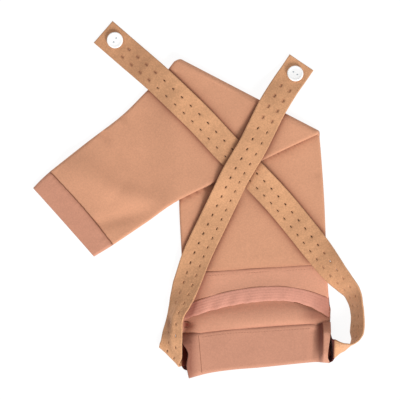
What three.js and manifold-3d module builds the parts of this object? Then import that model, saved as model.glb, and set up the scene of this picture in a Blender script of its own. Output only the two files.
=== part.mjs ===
// Arm compression sleeve with a buttonhole shoulder strap, folded once at the elbow and lying flat.
// Millimetres, +Z up, origin under the middle of the bounding box.
import * as THREE from "three";
import { LoftGeometry } from "three/addons/geometries/LoftGeometry.js";
import Module from "manifold-3d";

const wasm = await Module();
wasm.setup();

// Cloth
const WALL = 1.2;
const FLAT = 5.2;
const GAP = 0.4;
const EDGE_STEPS = 4;
const FLAT_STEPS = 8;

// The elbow fold: its outline's two ends, its bend radius, and how far each edge slides per mm rolled
const FOLD = { left: [-19.6, 148.0], right: [127.3, 71.7], radius: 5.6, leftDrift: 0.42, rightDrift: 0.25 };
const FOLD_STEPS = 6;

// The folded-over forearm drops from the upper arm to the floor between these two places along X
const DROP = { from: -17, to: -58 };

// Upper arm, from the shoulder seam towards the fold: the ends of each section
const UPPER_ARM = [
  { left: [-17.0, -76.8], right: [133.9, -66.9] },
  { left: [-18.2, -50.0], right: [133.0, -36.0] },
  { left: [-20.4, 0.0], right: [131.4, 2.0] },
  { left: [-19.8, 78.0], right: [128.8, 40.0] },
];

// Forearm, from the fold to the cuff seam, as it lies folded over
const FOREARM = [
  { left: [-37.0, 130.6], right: [97.0, 56.0] },
  { left: [-54.8, 113.6], right: [41.0, 29.0] },
  { left: [-80.8, 88.0], right: [-19.8, 0.2] },
  { left: [-117.8, 59.7], right: [-54.2, -23.2] },
  { left: [-155.4, 30.0], right: [-89.3, -46.9] },
];
const UPPER_ARM_STEPS = 9;
const FOREARM_STEPS = 22;

// Cuff, from its seam to its free end
const CUFF = [
  { left: [-155.8, 29.6], right: [-89.7, -47.3] },
  { left: [-164.8, 21.4], right: [-99.4, -53.2] },
  { left: [-173.2, 12.6], right: [-109.4, -59.2] },
];

// Top band and hem: each line across the front is an arch, given by its crest and its drop at either side
const BAND_SEAM = { left: [-17.0, -77.2], right: [133.9, -67.3] };
const HEM_SEAM = { crest: 0.64, top: -89.9, leftDrop: 21.0, rightDrop: 12.5 };
const HEM_EDGE = { crest: 0.67, top: -105.0, leftDrop: 21.0, rightDrop: 19.0 };
const BAND_BACK = { left: [-17.4, -138.9], right: [138.0, -126.6], bow: 2.2 };
const BAND_STEPS = 4;
const BAND_FLATS = 16;
const MOUTH_LIFT = 6.0;
const HEM_THICK = 1.8;
const HEM_STEPS = 30;
const HEM_SPAN = { from: 0.045, to: 0.955, leftShift: 1.8, rightShift: 2.2 };
const SEAM_OUT = 0.75;
const LEFT_LIFT = 0.75;
const RUFFLE = { depth: 0.7, waves: 9 };

// Strap casing from left to right: its front fold, back seam, height, and how far the lower lip sticks out
const CASING = [
  { left: [-10.2, -186.6], right: [-20.0, -139.6], high: 11.5, lip: -5.0 },
  { left: [10.6, -181.2], right: [8.6, -136.2], high: 7.6, lip: 0 },
  { left: [36.0, -177.6], right: [36.0, -133.2], high: 7.0, lip: 0 },
  { left: [64.2, -175.3], right: [62.0, -132.0], high: 7.0, lip: 0 },
  { left: [96.0, -172.0], right: [96.0, -129.5], high: 7.2, lip: 0 },
  { left: [114.0, -170.2], right: [115.5, -128.1], high: 7.4, lip: 0 },
  { left: [121.0, -169.6], right: [122.0, -127.8], high: 8.4, lip: 0 },
  { left: [125.6, -169.6], right: [126.6, -127.6], high: 11.0, lip: 0 },
  { left: [129.0, -169.8], right: [130.0, -127.5], high: 17.4, lip: 0.3 },
  { left: [136.6, -170.4], right: [138.0, -127.4], high: 17.6, lip: 5.8 },
];
const CASING_SHARES = [
  0, 0.05, 0.11, 0.22, 0.33, 0.44, 0.555, 0.667, 0.722, 0.778, 0.833, 0.889, 0.93, 0.957, 0.98, 1,
];
const CASING_FLATS = 12;

// Each mouth of the casing gapes between these shares of its width, from the front fold to the back seam
const LEFT_GAPE = [0.18, 0.85];
const RIGHT_GAPE = [0.02, 0.76];

// Along X: where the casing's left end opens, and where its right end flares up, opens and lifts its lip
const LEFT_END = [-16, 0];
const RIGHT_FLARE = [119, 127];
const RIGHT_END = [128, 136];
const RIGHT_LIP = [134, 136.6];
const LIP_RISE = 8.0;

// How far the upper lip is drawn in at each mouth, and how much lower each mouth is at its back and front
const DRAWN_LIP = { left: 4.8, at: 0.56, width: 0.2, right: 2.4 };
const MOUTH_FALL = { back: 0.42, backFrom: 0.72, front: 0.25, frontTo: 0.3 };

// Strap: its centre line and roll, from the upper left end round the right loop and into the casing
const STRAP = { width: 30, thick: 1.5 };
const STRAP_RIGHT = [
  { x: -99.9, y: 176.1, z: 1.0, roll: 0 },
  { x: -72.6, y: 152.4, z: 2.2, roll: -2 },
  { x: -42.4, y: 125.9, z: 9.6, roll: -8 },
  { x: -20.0, y: 104.6, z: 12.4, roll: -3 },
  { x: 1.5, y: 83.6, z: 12.6, roll: 0 },
  { x: 29.7, y: 53.3, z: 12.6, roll: 0 },
  { x: 47.0, y: 36.2, z: 12.6, roll: 0 },
  { x: 64.0, y: 19.0, z: 10.4, roll: 0 },
  { x: 85.1, y: -3.7, z: 7.2, roll: 0 },
  { x: 108.0, y: -31.5, z: 6.8, roll: 0 },
  { x: 122.7, y: -50.2, z: 9.2, roll: -8 },
  { x: 140.4, y: -73.2, z: 15.2, roll: -34 },
  { x: 151.9, y: -86.6, z: 16.4, roll: -50 },
  { x: 160.3, y: -97.0, z: 15.6, roll: -60 },
  { x: 164.5, y: -108.6, z: 14.9, roll: -66 },
  { x: 165.7, y: -122.3, z: 14.8, roll: -68 },
  { x: 165.2, y: -138.0, z: 14.9, roll: -68 },
  { x: 163.2, y: -146.2, z: 15.2, roll: -84 },
  { x: 158.2, y: -151.6, z: 15.6, roll: -98 },
  { x: 152.0, y: -153.9, z: 15.8, roll: -109 },
];

// The strap's north and south edge as it dives over the casing's lower lip into the mouth
const STRAP_DIVE = [
  { left: [146.8, -147.9, 28.6], right: [147.6, -161.2, 4.2] },
  { left: [141.4, -145.0, 25.0], right: [142.6, -163.2, 11.0] },
  { left: [139.5, -144.8, 22.4], right: [140.8, -162.6, 10.6] },
  { left: [138.6, -144.4, 14.0], right: [139.4, -161.8, 7.4] },
  { left: [137.6, -144.0, 6.4], right: [137.4, -161.4, 4.4] },
  { left: [135.4, -143.4, 3.2], right: [134.8, -161.4, 2.9] },
  { left: [131.0, -142.8, 2.5], right: [131.0, -161.8, 2.4] },
];

// The strap inside the casing, where it is drawn in
const DRAWN_IN = 0.75;
const STRAP_TUNNEL = [
  { x: 125.0, y: -153.6, z: 2.4, roll: -180 },
  { x: 108.0, y: -152.4, z: 2.4, roll: -180 },
  { x: 60.0, y: -154.4, z: 2.4, roll: -180 },
  { x: 22.0, y: -157.6, z: 2.4, roll: -180 },
  { x: 8.0, y: -159.5, z: 2.3, roll: -180 },
];

// The strap's diagonal fold outside the casing's left mouth: a point on its line, its heading and bend radius
const STRAP_FOLD = { at: [-29.4, -163.8], heading: -45, radius: 1.8 };
const ROOT = { from: [0.0, -160.6], height: 2.2 };
const ROOT_ROWS = [
  { along: 4, skew: 0.3 },
  { along: 10, skew: 0.65 },
  { along: 17, skew: 0.95 },
  { along: 25, skew: 1 },
];

// The strap's left and right edge as it rises from that fold, standing on its left edge
const STRAP_RISE = [
  { left: [-39.2, -146.6, 4.6], right: [-17.6, -165.6, 10.6] },
  { left: [-38.0, -142.0, 3.4], right: [-17.2, -156.0, 14.4] },
  { left: [-36.6, -136.5, 2.4], right: [-16.8, -145.5, 18.0] },
  { left: [-34.9, -130.5, 1.4], right: [-16.6, -134.5, 20.6] },
  { left: [-33.2, -124.5, 1.2], right: [-15.9, -125.0, 22.2] },
  { left: [-31.9, -118.5, 1.6], right: [-13.2, -118.0, 22.4] },
  { left: [-30.6, -111.0, 2.6], right: [-9.0, -111.5, 21.0] },
  { left: [-29.3, -100.5, 4.2], right: [-4.4, -103.5, 18.8] },
];

// Strap: from there up to the upper right end
const STRAP_LEFT = [
  { x: -13.2, y: -89.5, z: 11.0, roll: 24 },
  { x: -1.6, y: -57.5, z: 8.2, roll: 6 },
  { x: 16.0, y: -20.5, z: 7.4, roll: -2 },
  { x: 28.0, y: 4.5, z: 10.8, roll: -8 },
  { x: 37.7, y: 24.5, z: 14.2, roll: -3 },
  { x: 46.5, y: 39.5, z: 15.2, roll: 0 },
  { x: 55.5, y: 54.5, z: 15.2, roll: 0 },
  { x: 67.0, y: 77.5, z: 13.4, roll: 0 },
  { x: 77.2, y: 97.7, z: 12.6, roll: 0 },
  { x: 90.2, y: 118.6, z: 8.4, roll: 10 },
  { x: 99.4, y: 131.8, z: 4.0, roll: 6 },
  { x: 107.7, y: 144.0, z: 1.6, roll: 0 },
];
const PATH_STEP = 2;
const EDGE_ROW_STEPS = 3;

// Buttonholes: each row's distance from the strap's middle, a hole's length and width, the wide and tight
// pitch, and for each end of the strap the first hole, the last and where the pitch tightens
const HOLES = { rows: [-3.75, 6.75], length: 3.0, width: 1.2, pitch: 12.6, tight: 10.9 };
const RIGHT_HOLES = { first: 32.6, until: 420, tightFrom: 170 };
const LEFT_HOLES = { first: 33.6, until: 350, tightFrom: 80 };

// Buttons: their shape, and for each its distance from the strap's end, from its middle line, and its turn
const BUTTON = { radius: 8.5, thick: 3.0, rim: 1.6, dish: 0.9, hole: 1.0, spread: 2.5 };
const LEFT_BUTTON = { along: 15.2, aside: -1.4, turn: 7 };
const RIGHT_BUTTON = { along: 14.4, aside: 1.4, turn: -1 };

// Colours
const FINISH = {
  knit: { color: 0xd69c7a, roughness: 0.9, metalness: 0 },
  rib: { color: 0xcf9078, roughness: 0.9, metalness: 0 },
  elastic: { color: 0xd5a378, roughness: 0.85, metalness: 0 },
  plastic: { color: 0xf4f2ee, roughness: 0.35, metalness: 0 },
};

const radians = THREE.MathUtils.degToRad;
const smoothstep = THREE.MathUtils.smoothstep;
const smooth = (t) => smoothstep(t, 0, 1);
const point2 = (pair) => new THREE.Vector2(pair[0], pair[1]);

// A fold line: the plan direction along it, the direction across it, and where the bend starts
function foldLine(start, along, radius) {
  const across = new THREE.Vector2(-along.y, along.x);
  return { start: start.clone().addScaledVector(across, -radius), along, across, radius };
}

// Rolls a point of the flat cloth over the fold line
function bend(fold, p, z) {
  const from = p.clone().sub(fold.start);
  const slide = from.dot(fold.along);
  const past = from.dot(fold.across);
  const turn = THREE.MathUtils.clamp(past / fold.radius, 0, Math.PI);
  const rest = past - turn * fold.radius;
  const out = (fold.radius - z) * Math.sin(turn) + rest * Math.cos(turn);
  const up = fold.radius - (fold.radius - z) * Math.cos(turn);
  const plan = fold.start.clone().addScaledVector(fold.along, slide).addScaledVector(fold.across, out);
  return new THREE.Vector3(plan.x, plan.y, up);
}

// Where a point of the folded-over layer lies on the flat cloth
function unfold(fold, pair) {
  const from = point2(pair).sub(fold.start);
  const past = Math.PI * fold.radius - from.dot(fold.across);
  const slide = from.dot(fold.along);
  return fold.start.clone().addScaledVector(fold.along, slide).addScaledVector(fold.across, past);
}

const elbowAlong = point2(FOLD.right).sub(point2(FOLD.left)).normalize();
const elbow = foldLine(point2(FOLD.left), elbowAlong, FOLD.radius);

// The forearm layer sinks to the floor beyond the upper arm's left edge
function lieDown(p, past) {
  if (past <= 0) return p;
  const share = smooth((DROP.from - p.x) / (DROP.from - DROP.to));
  p.z -= (2 * FOLD.radius - FLAT) * share * smooth(past / (Math.PI * FOLD.radius));
  return p;
}

function onArm(p, z) {
  const past = p.clone().sub(elbow.start).dot(elbow.across);
  return lieDown(bend(elbow, p, z), past);
}

// Sections between the given ones, with both edges as smooth curves
function between(rows, steps) {
  const left = new THREE.SplineCurve(rows.map((r) => r.left));
  const right = new THREE.SplineCurve(rows.map((r) => r.right));
  const made = [];
  for (let i = 0; i <= steps; i++) {
    const t = i / steps;
    made.push({ left: left.getPoint(t), right: right.getPoint(t) });
  }
  return made;
}

// One ring round a pressed tube: half circles at the edges and flats between, drawn in by inset
function ring(row, inset, place) {
  const high = row.high ?? FLAT;
  const flats = row.flats ?? FLAT_STEPS;
  const half = row.left.distanceTo(row.right) / 2;
  const flat = half - high / 2;
  const radius = high / 2 - inset;
  const points = [];
  const add = (across, z) => {
    const share = (across / half + 1) / 2;
    const p = row.left.clone().lerp(row.right, share);
    points.push(place(p, z, row, share));
  };
  for (const side of [1, -1]) {
    for (let i = 0; i <= EDGE_STEPS; i++) {
      const turn = side * (-Math.PI / 2 + (Math.PI * i) / EDGE_STEPS);
      add(side * (flat + radius * Math.cos(turn)), high / 2 + radius * Math.sin(turn));
    }
    for (let i = 1; i < flats; i++) {
      add(side * flat * (1 - (2 * i) / flats), high / 2 + side * radius);
    }
  }
  return points;
}

// A tube with a wall: out along the outside, back along the inside
function tube(rows, place) {
  const outside = rows.map((row) => ring(row, 0, place));
  const inside = rows.map((row) => ring(row, WALL, place)).reverse();
  return new LoftGeometry([...outside, ...inside, outside[0]].reverse());
}

// Sleeve
function sleeveRows() {
  const roll = Math.PI * FOLD.radius;
  const ends = [point2(FOLD.left), point2(FOLD.right)].map((p) => p.sub(elbow.start).dot(elbow.along));
  const onFold = (slide, past) =>
    elbow.start.clone().addScaledVector(elbow.along, slide).addScaledVector(elbow.across, past);
  const rolled = [];
  for (let i = 0; i <= FOLD_STEPS; i++) {
    const past = (roll * i) / FOLD_STEPS;
    rolled.push({
      left: onFold(ends[0] + FOLD.leftDrift * (roll / 2 - past), past),
      right: onFold(ends[1] + FOLD.rightDrift * (roll / 2 - past), past),
    });
  }
  const lower = UPPER_ARM.map((r) => ({ left: point2(r.left), right: point2(r.right) }));
  const upper = FOREARM.map((r) => ({ left: unfold(elbow, r.left), right: unfold(elbow, r.right) }));
  const toFold = between([...lower, rolled[0]], UPPER_ARM_STEPS).slice(0, -1);
  const fromFold = between([rolled[FOLD_STEPS], ...upper], FOREARM_STEPS).slice(1);
  return [...toFold, ...rolled, ...fromFold];
}

const cuffRows = CUFF.map((r) => ({ left: unfold(elbow, r.left), right: unfold(elbow, r.right) }));

// Top band: a ring whose front ends at the hem seam and whose back runs on to the casing
function arch(line, share) {
  const side = share < line.crest ? line.crest : 1 - line.crest;
  const drop = share < line.crest ? line.leftDrop : line.rightDrop;
  return line.top - drop * ((share - line.crest) / side) ** 2;
}

// How high the front of the mouth stands, a little lower on its left
function mouthLift(share, out) {
  const lean = THREE.MathUtils.lerp(LEFT_LIFT, 1, share);
  return MOUTH_LIFT * out ** 2 * lean * Math.sqrt(Math.sin(Math.PI * share));
}

function bandPlace(p, z, row, share) {
  const front = smooth((z / FLAT - 0.3) / 0.4);
  const bow = BAND_BACK.bow * Math.sin(Math.PI * THREE.MathUtils.clamp(share, 0, 1));
  const back = THREE.MathUtils.lerp(BAND_BACK.left[1], BAND_BACK.right[1], share) + bow;
  const end = THREE.MathUtils.lerp(back, arch(HEM_SEAM, share), front);
  const leftDrift = BAND_BACK.left[0] - BAND_SEAM.left[0];
  const rightDrift = BAND_BACK.right[0] - BAND_SEAM.right[0];
  const widen = THREE.MathUtils.lerp(leftDrift, rightDrift, THREE.MathUtils.clamp(share, 0, 1));
  const drift = (widen * (p.y - end)) / (BAND_SEAM.left[1] - BAND_BACK.left[1]);
  const lift = mouthLift(THREE.MathUtils.clamp(share, 0, 1), row.out * SEAM_OUT);
  const x = p.x + drift * row.out;
  return new THREE.Vector3(x, THREE.MathUtils.lerp(p.y, end, row.out), z + lift * smooth(z / FLAT));
}

const bandRows = [];
for (let i = 0; i <= BAND_STEPS; i++) {
  const out = 1 - i / BAND_STEPS;
  bandRows.push({ left: point2(BAND_SEAM.left), right: point2(BAND_SEAM.right), out, flats: BAND_FLATS });
}

// Hem band: a ribbed strip from the hem seam to the ruffled free edge
function hemGeometry() {
  const sections = [];
  for (let i = 0; i <= HEM_STEPS; i++) {
    const share = THREE.MathUtils.lerp(HEM_SPAN.from, HEM_SPAN.to, i / HEM_STEPS);
    const left = BAND_SEAM.left[0] + HEM_SPAN.leftShift;
    const right = BAND_SEAM.right[0] + HEM_SPAN.rightShift;
    const x = THREE.MathUtils.lerp(left, right, share);
    const inner = arch(HEM_SEAM, share) - 2 * GAP;
    const outer = arch(HEM_EDGE, share);
    const ruffle = RUFFLE.depth * Math.sin(2 * Math.PI * RUFFLE.waves * share);
    const low = FLAT - HEM_THICK;
    const atSeam = low + mouthLift(share, SEAM_OUT);
    const atEdge = low + mouthLift(share, 1) + ruffle;
    const mid = (inner + outer) / 2;
    const atMid = (atSeam + atEdge) / 2 + 0.5;
    sections.push([
      new THREE.Vector3(x, inner, atSeam),
      new THREE.Vector3(x, mid, atMid),
      new THREE.Vector3(x, outer, atEdge),
      new THREE.Vector3(x, outer - 0.5, atEdge + HEM_THICK / 2),
      new THREE.Vector3(x, outer, atEdge + HEM_THICK),
      new THREE.Vector3(x, mid, atMid + HEM_THICK),
      new THREE.Vector3(x, inner, atSeam + HEM_THICK),
    ]);
  }
  return new LoftGeometry(sections.reverse(), { capStart: true, capEnd: true });
}

// Casing: its lower lip sticks out at both mouths, and its right end flares up
const casingFront = new THREE.SplineCurve(CASING.map((r) => point2(r.left)));
const casingBack = new THREE.SplineCurve(CASING.map((r) => point2(r.right)));
const casingSize = new THREE.SplineCurve(CASING.map((r) => new THREE.Vector2(r.high, r.lip)));
const casingRows = CASING_SHARES.map((t) => {
  const size = casingSize.getPoint(t);
  const left = casingFront.getPoint(t);
  return { left, right: casingBack.getPoint(t), high: size.x, lip: size.y, flats: CASING_FLATS };
}).reverse();

// A mouth's outline from front to back, widest near the front
function gapeAt(share, ends) {
  const t = THREE.MathUtils.clamp((share - ends[0]) / (ends[1] - ends[0]), 0, 1);
  return Math.sin(Math.PI * Math.sqrt(t));
}

function casingPlace(p, z, row, share) {
  const out = row.right.clone().sub(row.left).normalize();
  const low = 1 - smooth(z / row.high);
  const top = smooth((2 * z) / row.high - 1);
  const gape = gapeAt(share, row.lip < 0 ? LEFT_GAPE : RIGHT_GAPE);
  const leftmost = 1 - smoothstep(p.x, ...LEFT_END);
  const bell = Math.exp(-(((share - DRAWN_LIP.at) / DRAWN_LIP.width) ** 2));
  const drawn = DRAWN_LIP.left * bell * leftmost - DRAWN_LIP.right * gape * smoothstep(p.x, ...RIGHT_END);
  const push = row.lip * low * gape + top * drawn;
  const flare = Math.max(leftmost, smoothstep(p.x, ...RIGHT_FLARE));
  const backFall = MOUTH_FALL.back * smoothstep(share, MOUTH_FALL.backFrom, 1);
  const frontFall = MOUTH_FALL.front * (1 - smoothstep(share, 0, MOUTH_FALL.frontTo));
  const lipUp = LIP_RISE * low * gape * smoothstep(p.x, ...RIGHT_LIP);
  const up = z * (1 - flare * (backFall + frontFall)) + lipUp;
  return new THREE.Vector3(p.x + out.y * push, p.y - out.x * push, up);
}

// Strap rows: the two edge points of each section of the strap's middle surface
function ribbonRows(stations, width) {
  const curve = new THREE.CatmullRomCurve3(
    stations.map((s) => new THREE.Vector3(s.x, s.y, s.z)),
    false,
    "centripetal",
  );
  const steps = Math.round(curve.getLength() / PATH_STEP);
  const rows = [];
  for (let i = 0; i <= steps; i++) {
    const t = curve.getUtoTmapping(i / steps);
    const place = t * (stations.length - 1);
    const k = Math.min(Math.floor(place), stations.length - 2);
    const roll = radians(THREE.MathUtils.lerp(stations[k].roll, stations[k + 1].roll, place - k));
    const ahead = curve.getTangent(t);
    const level = new THREE.Vector3(ahead.y, -ahead.x, 0).normalize();
    const rise = new THREE.Vector3().crossVectors(level, ahead);
    const half = level.multiplyScalar(Math.cos(roll)).addScaledVector(rise, Math.sin(roll));
    const centre = curve.getPoint(t);
    rows.push({
      left: centre.clone().addScaledVector(half, -width / 2),
      right: centre.clone().addScaledVector(half, width / 2),
    });
  }
  return rows;
}

// The strap's root runs straight out of the casing, over its diagonal fold and back above itself
function rootRows(width) {
  const heading = radians(STRAP_FOLD.heading);
  const along = new THREE.Vector2(-Math.cos(heading), -Math.sin(heading));
  const fold = foldLine(point2(STRAP_FOLD.at), along, STRAP_FOLD.radius);
  const from = point2(ROOT.from);
  const ahead = point2(STRAP_FOLD.at).sub(from).normalize();
  const side = new THREE.Vector2(-ahead.y, ahead.x);
  const reach = fold.start.clone().sub(from).dot(fold.across) / ahead.dot(fold.across);
  const full = (Math.PI * fold.radius) / ahead.dot(fold.across);
  const rows = [];
  const add = (distance, skew) => {
    const edges = [1, -1].map((sign) => {
      const step = (sign * width) / 2;
      const sheer = skew * step * (side.dot(fold.across) / ahead.dot(fold.across));
      const p = from.clone().addScaledVector(ahead, distance - sheer).addScaledVector(side, step);
      const bent = bend(fold, p, 0);
      bent.z += ROOT.height;
      return bent;
    });
    rows.push({ left: edges[1], right: edges[0] });
  };
  for (const row of ROOT_ROWS) {
    if (row.along < reach - 2) add(row.along, row.skew);
  }
  for (let i = 0; i <= FOLD_STEPS; i++) add(reach + (full * i) / FOLD_STEPS, 1);
  return rows;
}

// Rows whose edges are smooth curves through a table of edge points, from one run of the strap to the next
function edgeRows(last, table, first) {
  const edges = ["left", "right"].map((side) => {
    const points = table.map((r) => new THREE.Vector3(...r[side]));
    return new THREE.CatmullRomCurve3([last[side], ...points, first[side]], false, "centripetal");
  });
  const count = EDGE_ROW_STEPS * (table.length + 1);
  const rows = [];
  for (let i = 1; i < count; i++) {
    const t = i / count;
    rows.push({ left: edges[0].getPoint(t), right: edges[1].getPoint(t) });
  }
  return rows;
}

const rightRun = ribbonRows(STRAP_RIGHT, STRAP.width);
const tunnelRun = ribbonRows(STRAP_TUNNEL, STRAP.width * DRAWN_IN);
const rootRun = rootRows(STRAP.width * DRAWN_IN);
const leftRun = ribbonRows(STRAP_LEFT, STRAP.width);
const rawRows = [
  ...rightRun,
  ...edgeRows(rightRun[rightRun.length - 1], STRAP_DIVE, tunnelRun[0]),
  ...tunnelRun,
  ...rootRun,
  ...edgeRows(rootRun[rootRun.length - 1], STRAP_RISE, leftRun[0]),
  ...leftRun,
];
const middleOf = (row) => row.left.clone().add(row.right).multiplyScalar(0.5);

// Distance along the strap of each row
const gone = [0];
for (let i = 1; i < rawRows.length; i++) {
  gone.push(gone[i - 1] + middleOf(rawRows[i]).distanceTo(middleOf(rawRows[i - 1])));
}
const STRAP_LENGTH = gone[gone.length - 1];

// The strap's frame at a distance along it: middle, half width, direction ahead and face normal
function strapAt(distance) {
  let i = 1;
  while (i < gone.length - 1 && gone[i] < distance) i += 1;
  const share = (distance - gone[i - 1]) / (gone[i] - gone[i - 1]);
  const left = rawRows[i - 1].left.clone().lerp(rawRows[i].left, share);
  const right = rawRows[i - 1].right.clone().lerp(rawRows[i].right, share);
  const next = middleOf(rawRows[Math.min(i + 1, gone.length - 1)]);
  const ahead = next.sub(middleOf(rawRows[Math.max(i - 2, 0)]));
  const half = right.clone().sub(left).multiplyScalar(0.5);
  const face = new THREE.Vector3().crossVectors(half, ahead).normalize();
  return { middle: left.add(right).multiplyScalar(0.5), half, ahead: ahead.normalize(), face };
}

// Distances of the buttonholes from one end of the strap
function holePlaces(run) {
  const places = [run.first];
  while (places[places.length - 1] < run.until) {
    const at = places[places.length - 1];
    places.push(at + THREE.MathUtils.lerp(HOLES.pitch, HOLES.tight, smooth((at - run.tightFrom) / 60)));
  }
  return places;
}

// Rows of the strap's grid: the two ends of each buttonhole, and the path's own rows where none are cut
function strapDistances() {
  const marks = [0, STRAP_LENGTH];
  const mark = (at) => marks.push(at - HOLES.length / 2, at + HOLES.length / 2);
  for (const at of holePlaces(RIGHT_HOLES)) mark(at);
  for (const at of holePlaces(LEFT_HOLES)) mark(STRAP_LENGTH - at);
  marks.sort((a, b) => a - b);
  const rows = [];
  marks.forEach((at, i) => {
    const next = marks[i + 1] ?? at;
    rows.push({ at, hole: Math.abs(next - at - HOLES.length) < 0.01 });
    if (next - at < 2 * HOLES.pitch) return;
    for (const own of gone) {
      if (own > rows[rows.length - 1].at + 0.6 && own < next - 0.6) rows.push({ at: own, hole: false });
    }
  });
  return rows;
}

// The pierced strap: a grid of cells on both faces, open at the buttonholes, with walls round every opening
function piercedStrap() {
  const half = STRAP.width / 2;
  const slits = HOLES.rows.flatMap((w) => [w - HOLES.width / 2, w + HOLES.width / 2]);
  const columns = [-half, ...slits, half].map((w) => w / half);
  const rows = strapDistances();
  const last = columns.length - 1;
  const open = (i, j) => i < 0 || i >= rows.length - 1 || j < 0 || j >= last || (rows[i].hole && j % 2 === 1);
  const points = [];
  for (const row of rows) {
    const f = strapAt(row.at);
    for (const side of columns) {
      const inside = f.middle.clone().addScaledVector(f.half, side);
      for (const up of [-1, 1]) {
        const p = inside.clone().addScaledVector(f.face, (up * STRAP.thick) / 2);
        points.push(p.x, p.y, p.z);
      }
    }
  }
  const at = (i, j, up) => (i * columns.length + j) * 2 + up;
  const index = [];
  const quad = (a, b, c, d) => index.push(a, b, c, a, c, d);
  for (let i = 0; i < rows.length - 1; i++) {
    for (let j = 0; j < last; j++) {
      if (open(i, j)) continue;
      quad(at(i, j, 1), at(i, j + 1, 1), at(i + 1, j + 1, 1), at(i + 1, j, 1));
      quad(at(i, j, 0), at(i + 1, j, 0), at(i + 1, j + 1, 0), at(i, j + 1, 0));
      if (open(i - 1, j)) quad(at(i, j, 0), at(i, j + 1, 0), at(i, j + 1, 1), at(i, j, 1));
      if (open(i + 1, j)) quad(at(i + 1, j + 1, 0), at(i + 1, j, 0), at(i + 1, j, 1), at(i + 1, j + 1, 1));
      if (open(i, j - 1)) quad(at(i + 1, j, 0), at(i, j, 0), at(i, j, 1), at(i + 1, j, 1));
      if (open(i, j + 1)) quad(at(i, j + 1, 0), at(i + 1, j + 1, 0), at(i + 1, j + 1, 1), at(i, j + 1, 1));
    }
  }
  const geometry = new THREE.BufferGeometry();
  geometry.setAttribute("position", new THREE.Float32BufferAttribute(points, 3));
  geometry.setIndex(index);
  geometry.computeVertexNormals();
  return geometry;
}

function toSolid(geometry) {
  const flat = geometry.index ? geometry.toNonIndexed() : geometry;
  const mesh = new wasm.Mesh({
    numProp: 3,
    vertProperties: new Float32Array(flat.attributes.position.array),
    triVerts: Uint32Array.from({ length: flat.attributes.position.count }, (_, i) => i),
  });
  mesh.merge();
  return new wasm.Manifold(mesh);
}

function toGeometry(solid) {
  const mesh = solid.getMesh();
  const geometry = new THREE.BufferGeometry();
  geometry.setAttribute("position", new THREE.BufferAttribute(mesh.vertProperties, mesh.numProp));
  geometry.setIndex(new THREE.BufferAttribute(mesh.triVerts, 1));
  geometry.computeVertexNormals();
  return geometry;
}

// A round button with a raised rim, a dished middle and two holes
function buttonGeometry() {
  const { radius, thick, rim, dish } = BUTTON;
  const profile = [
    [0, 0],
    [radius - 1.2, 0],
    [radius, 1.1],
    [radius - 0.3, thick - 0.4],
    [radius - rim / 2, thick],
    [radius - rim - 0.4, thick - 0.4],
    [radius - rim - 1.2, thick - dish],
    [0, thick - dish],
  ].map(([r, h]) => new THREE.Vector2(r, h));
  const disc = toSolid(new THREE.LatheGeometry(profile, 24).rotateX(Math.PI / 2));
  const holes = [-1, 1].map((side) => {
    const pin = new THREE.CylinderGeometry(BUTTON.hole, BUTTON.hole, 4 * thick, 8).rotateX(Math.PI / 2);
    return toSolid(pin.translate(0, side * BUTTON.spread, 0));
  });
  return toGeometry(disc.subtract(wasm.Manifold.union(holes)));
}

function button(distance, place) {
  const f = strapAt(distance);
  const across = new THREE.Vector3().crossVectors(f.face, f.ahead);
  const stand = new THREE.Matrix4().makeTranslation(0, -place.aside, STRAP.thick / 2 + 2 * GAP);
  const turn = new THREE.Matrix4().makeRotationZ(radians(place.turn));
  const frame = new THREE.Matrix4().makeBasis(f.ahead, across, f.face).setPosition(f.middle);
  return buttonGeometry().applyMatrix4(frame.multiply(stand).multiply(turn));
}

const group = new THREE.Group();
function piece(name, geometry, finish) {
  const mesh = new THREE.Mesh(geometry, new THREE.MeshStandardMaterial(FINISH[finish]));
  mesh.name = name;
  group.add(mesh);
}

piece("sleeve", tube(sleeveRows(), onArm), "knit");
piece("wrist_cuff", tube(cuffRows, onArm), "rib");
piece("top_band", tube(bandRows, bandPlace), "rib");
piece("hem_band", hemGeometry(), "rib");
piece("strap_casing", tube(casingRows, casingPlace), "rib");
piece("strap", piercedStrap(), "elastic");
piece("button_left", button(LEFT_BUTTON.along, LEFT_BUTTON), "plastic");
piece("button_right", button(STRAP_LENGTH - RIGHT_BUTTON.along, RIGHT_BUTTON), "plastic");

export default group;
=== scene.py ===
"""Arm compression sleeve with a buttonhole shoulder strap, folded at the elbow and lying flat."""

import math

import bmesh
import bpy
from bpy.props import FloatProperty, FloatVectorProperty, IntProperty, PointerProperty
from mathutils import Matrix, Vector, noise
from mathutils.kdtree import KDTree


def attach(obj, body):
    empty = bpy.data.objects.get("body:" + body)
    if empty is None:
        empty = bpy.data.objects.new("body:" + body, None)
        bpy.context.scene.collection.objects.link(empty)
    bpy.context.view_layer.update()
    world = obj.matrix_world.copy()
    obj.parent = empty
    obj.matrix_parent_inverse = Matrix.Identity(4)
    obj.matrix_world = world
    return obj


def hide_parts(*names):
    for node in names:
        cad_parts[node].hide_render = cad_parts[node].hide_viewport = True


bl_info = {
    "name": "Arm Compression Sleeve",
    "version": (1, 0, 0),
    "blender": (4, 5, 0),
    "location": "3D View > Sidebar > Arm Sleeve",
    "description": "Dresses the packed arm sleeve with knit, webbing, seams, buttons and a studio stage",
    "category": "Object",
}

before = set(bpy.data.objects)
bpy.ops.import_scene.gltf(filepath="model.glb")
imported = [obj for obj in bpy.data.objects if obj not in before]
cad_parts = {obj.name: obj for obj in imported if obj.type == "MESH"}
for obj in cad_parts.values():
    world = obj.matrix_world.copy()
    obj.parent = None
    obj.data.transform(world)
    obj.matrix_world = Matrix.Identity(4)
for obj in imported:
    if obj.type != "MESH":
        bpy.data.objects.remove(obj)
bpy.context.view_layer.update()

# Tables are in millimetres, except where a comment says metres
MM = 0.001

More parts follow.
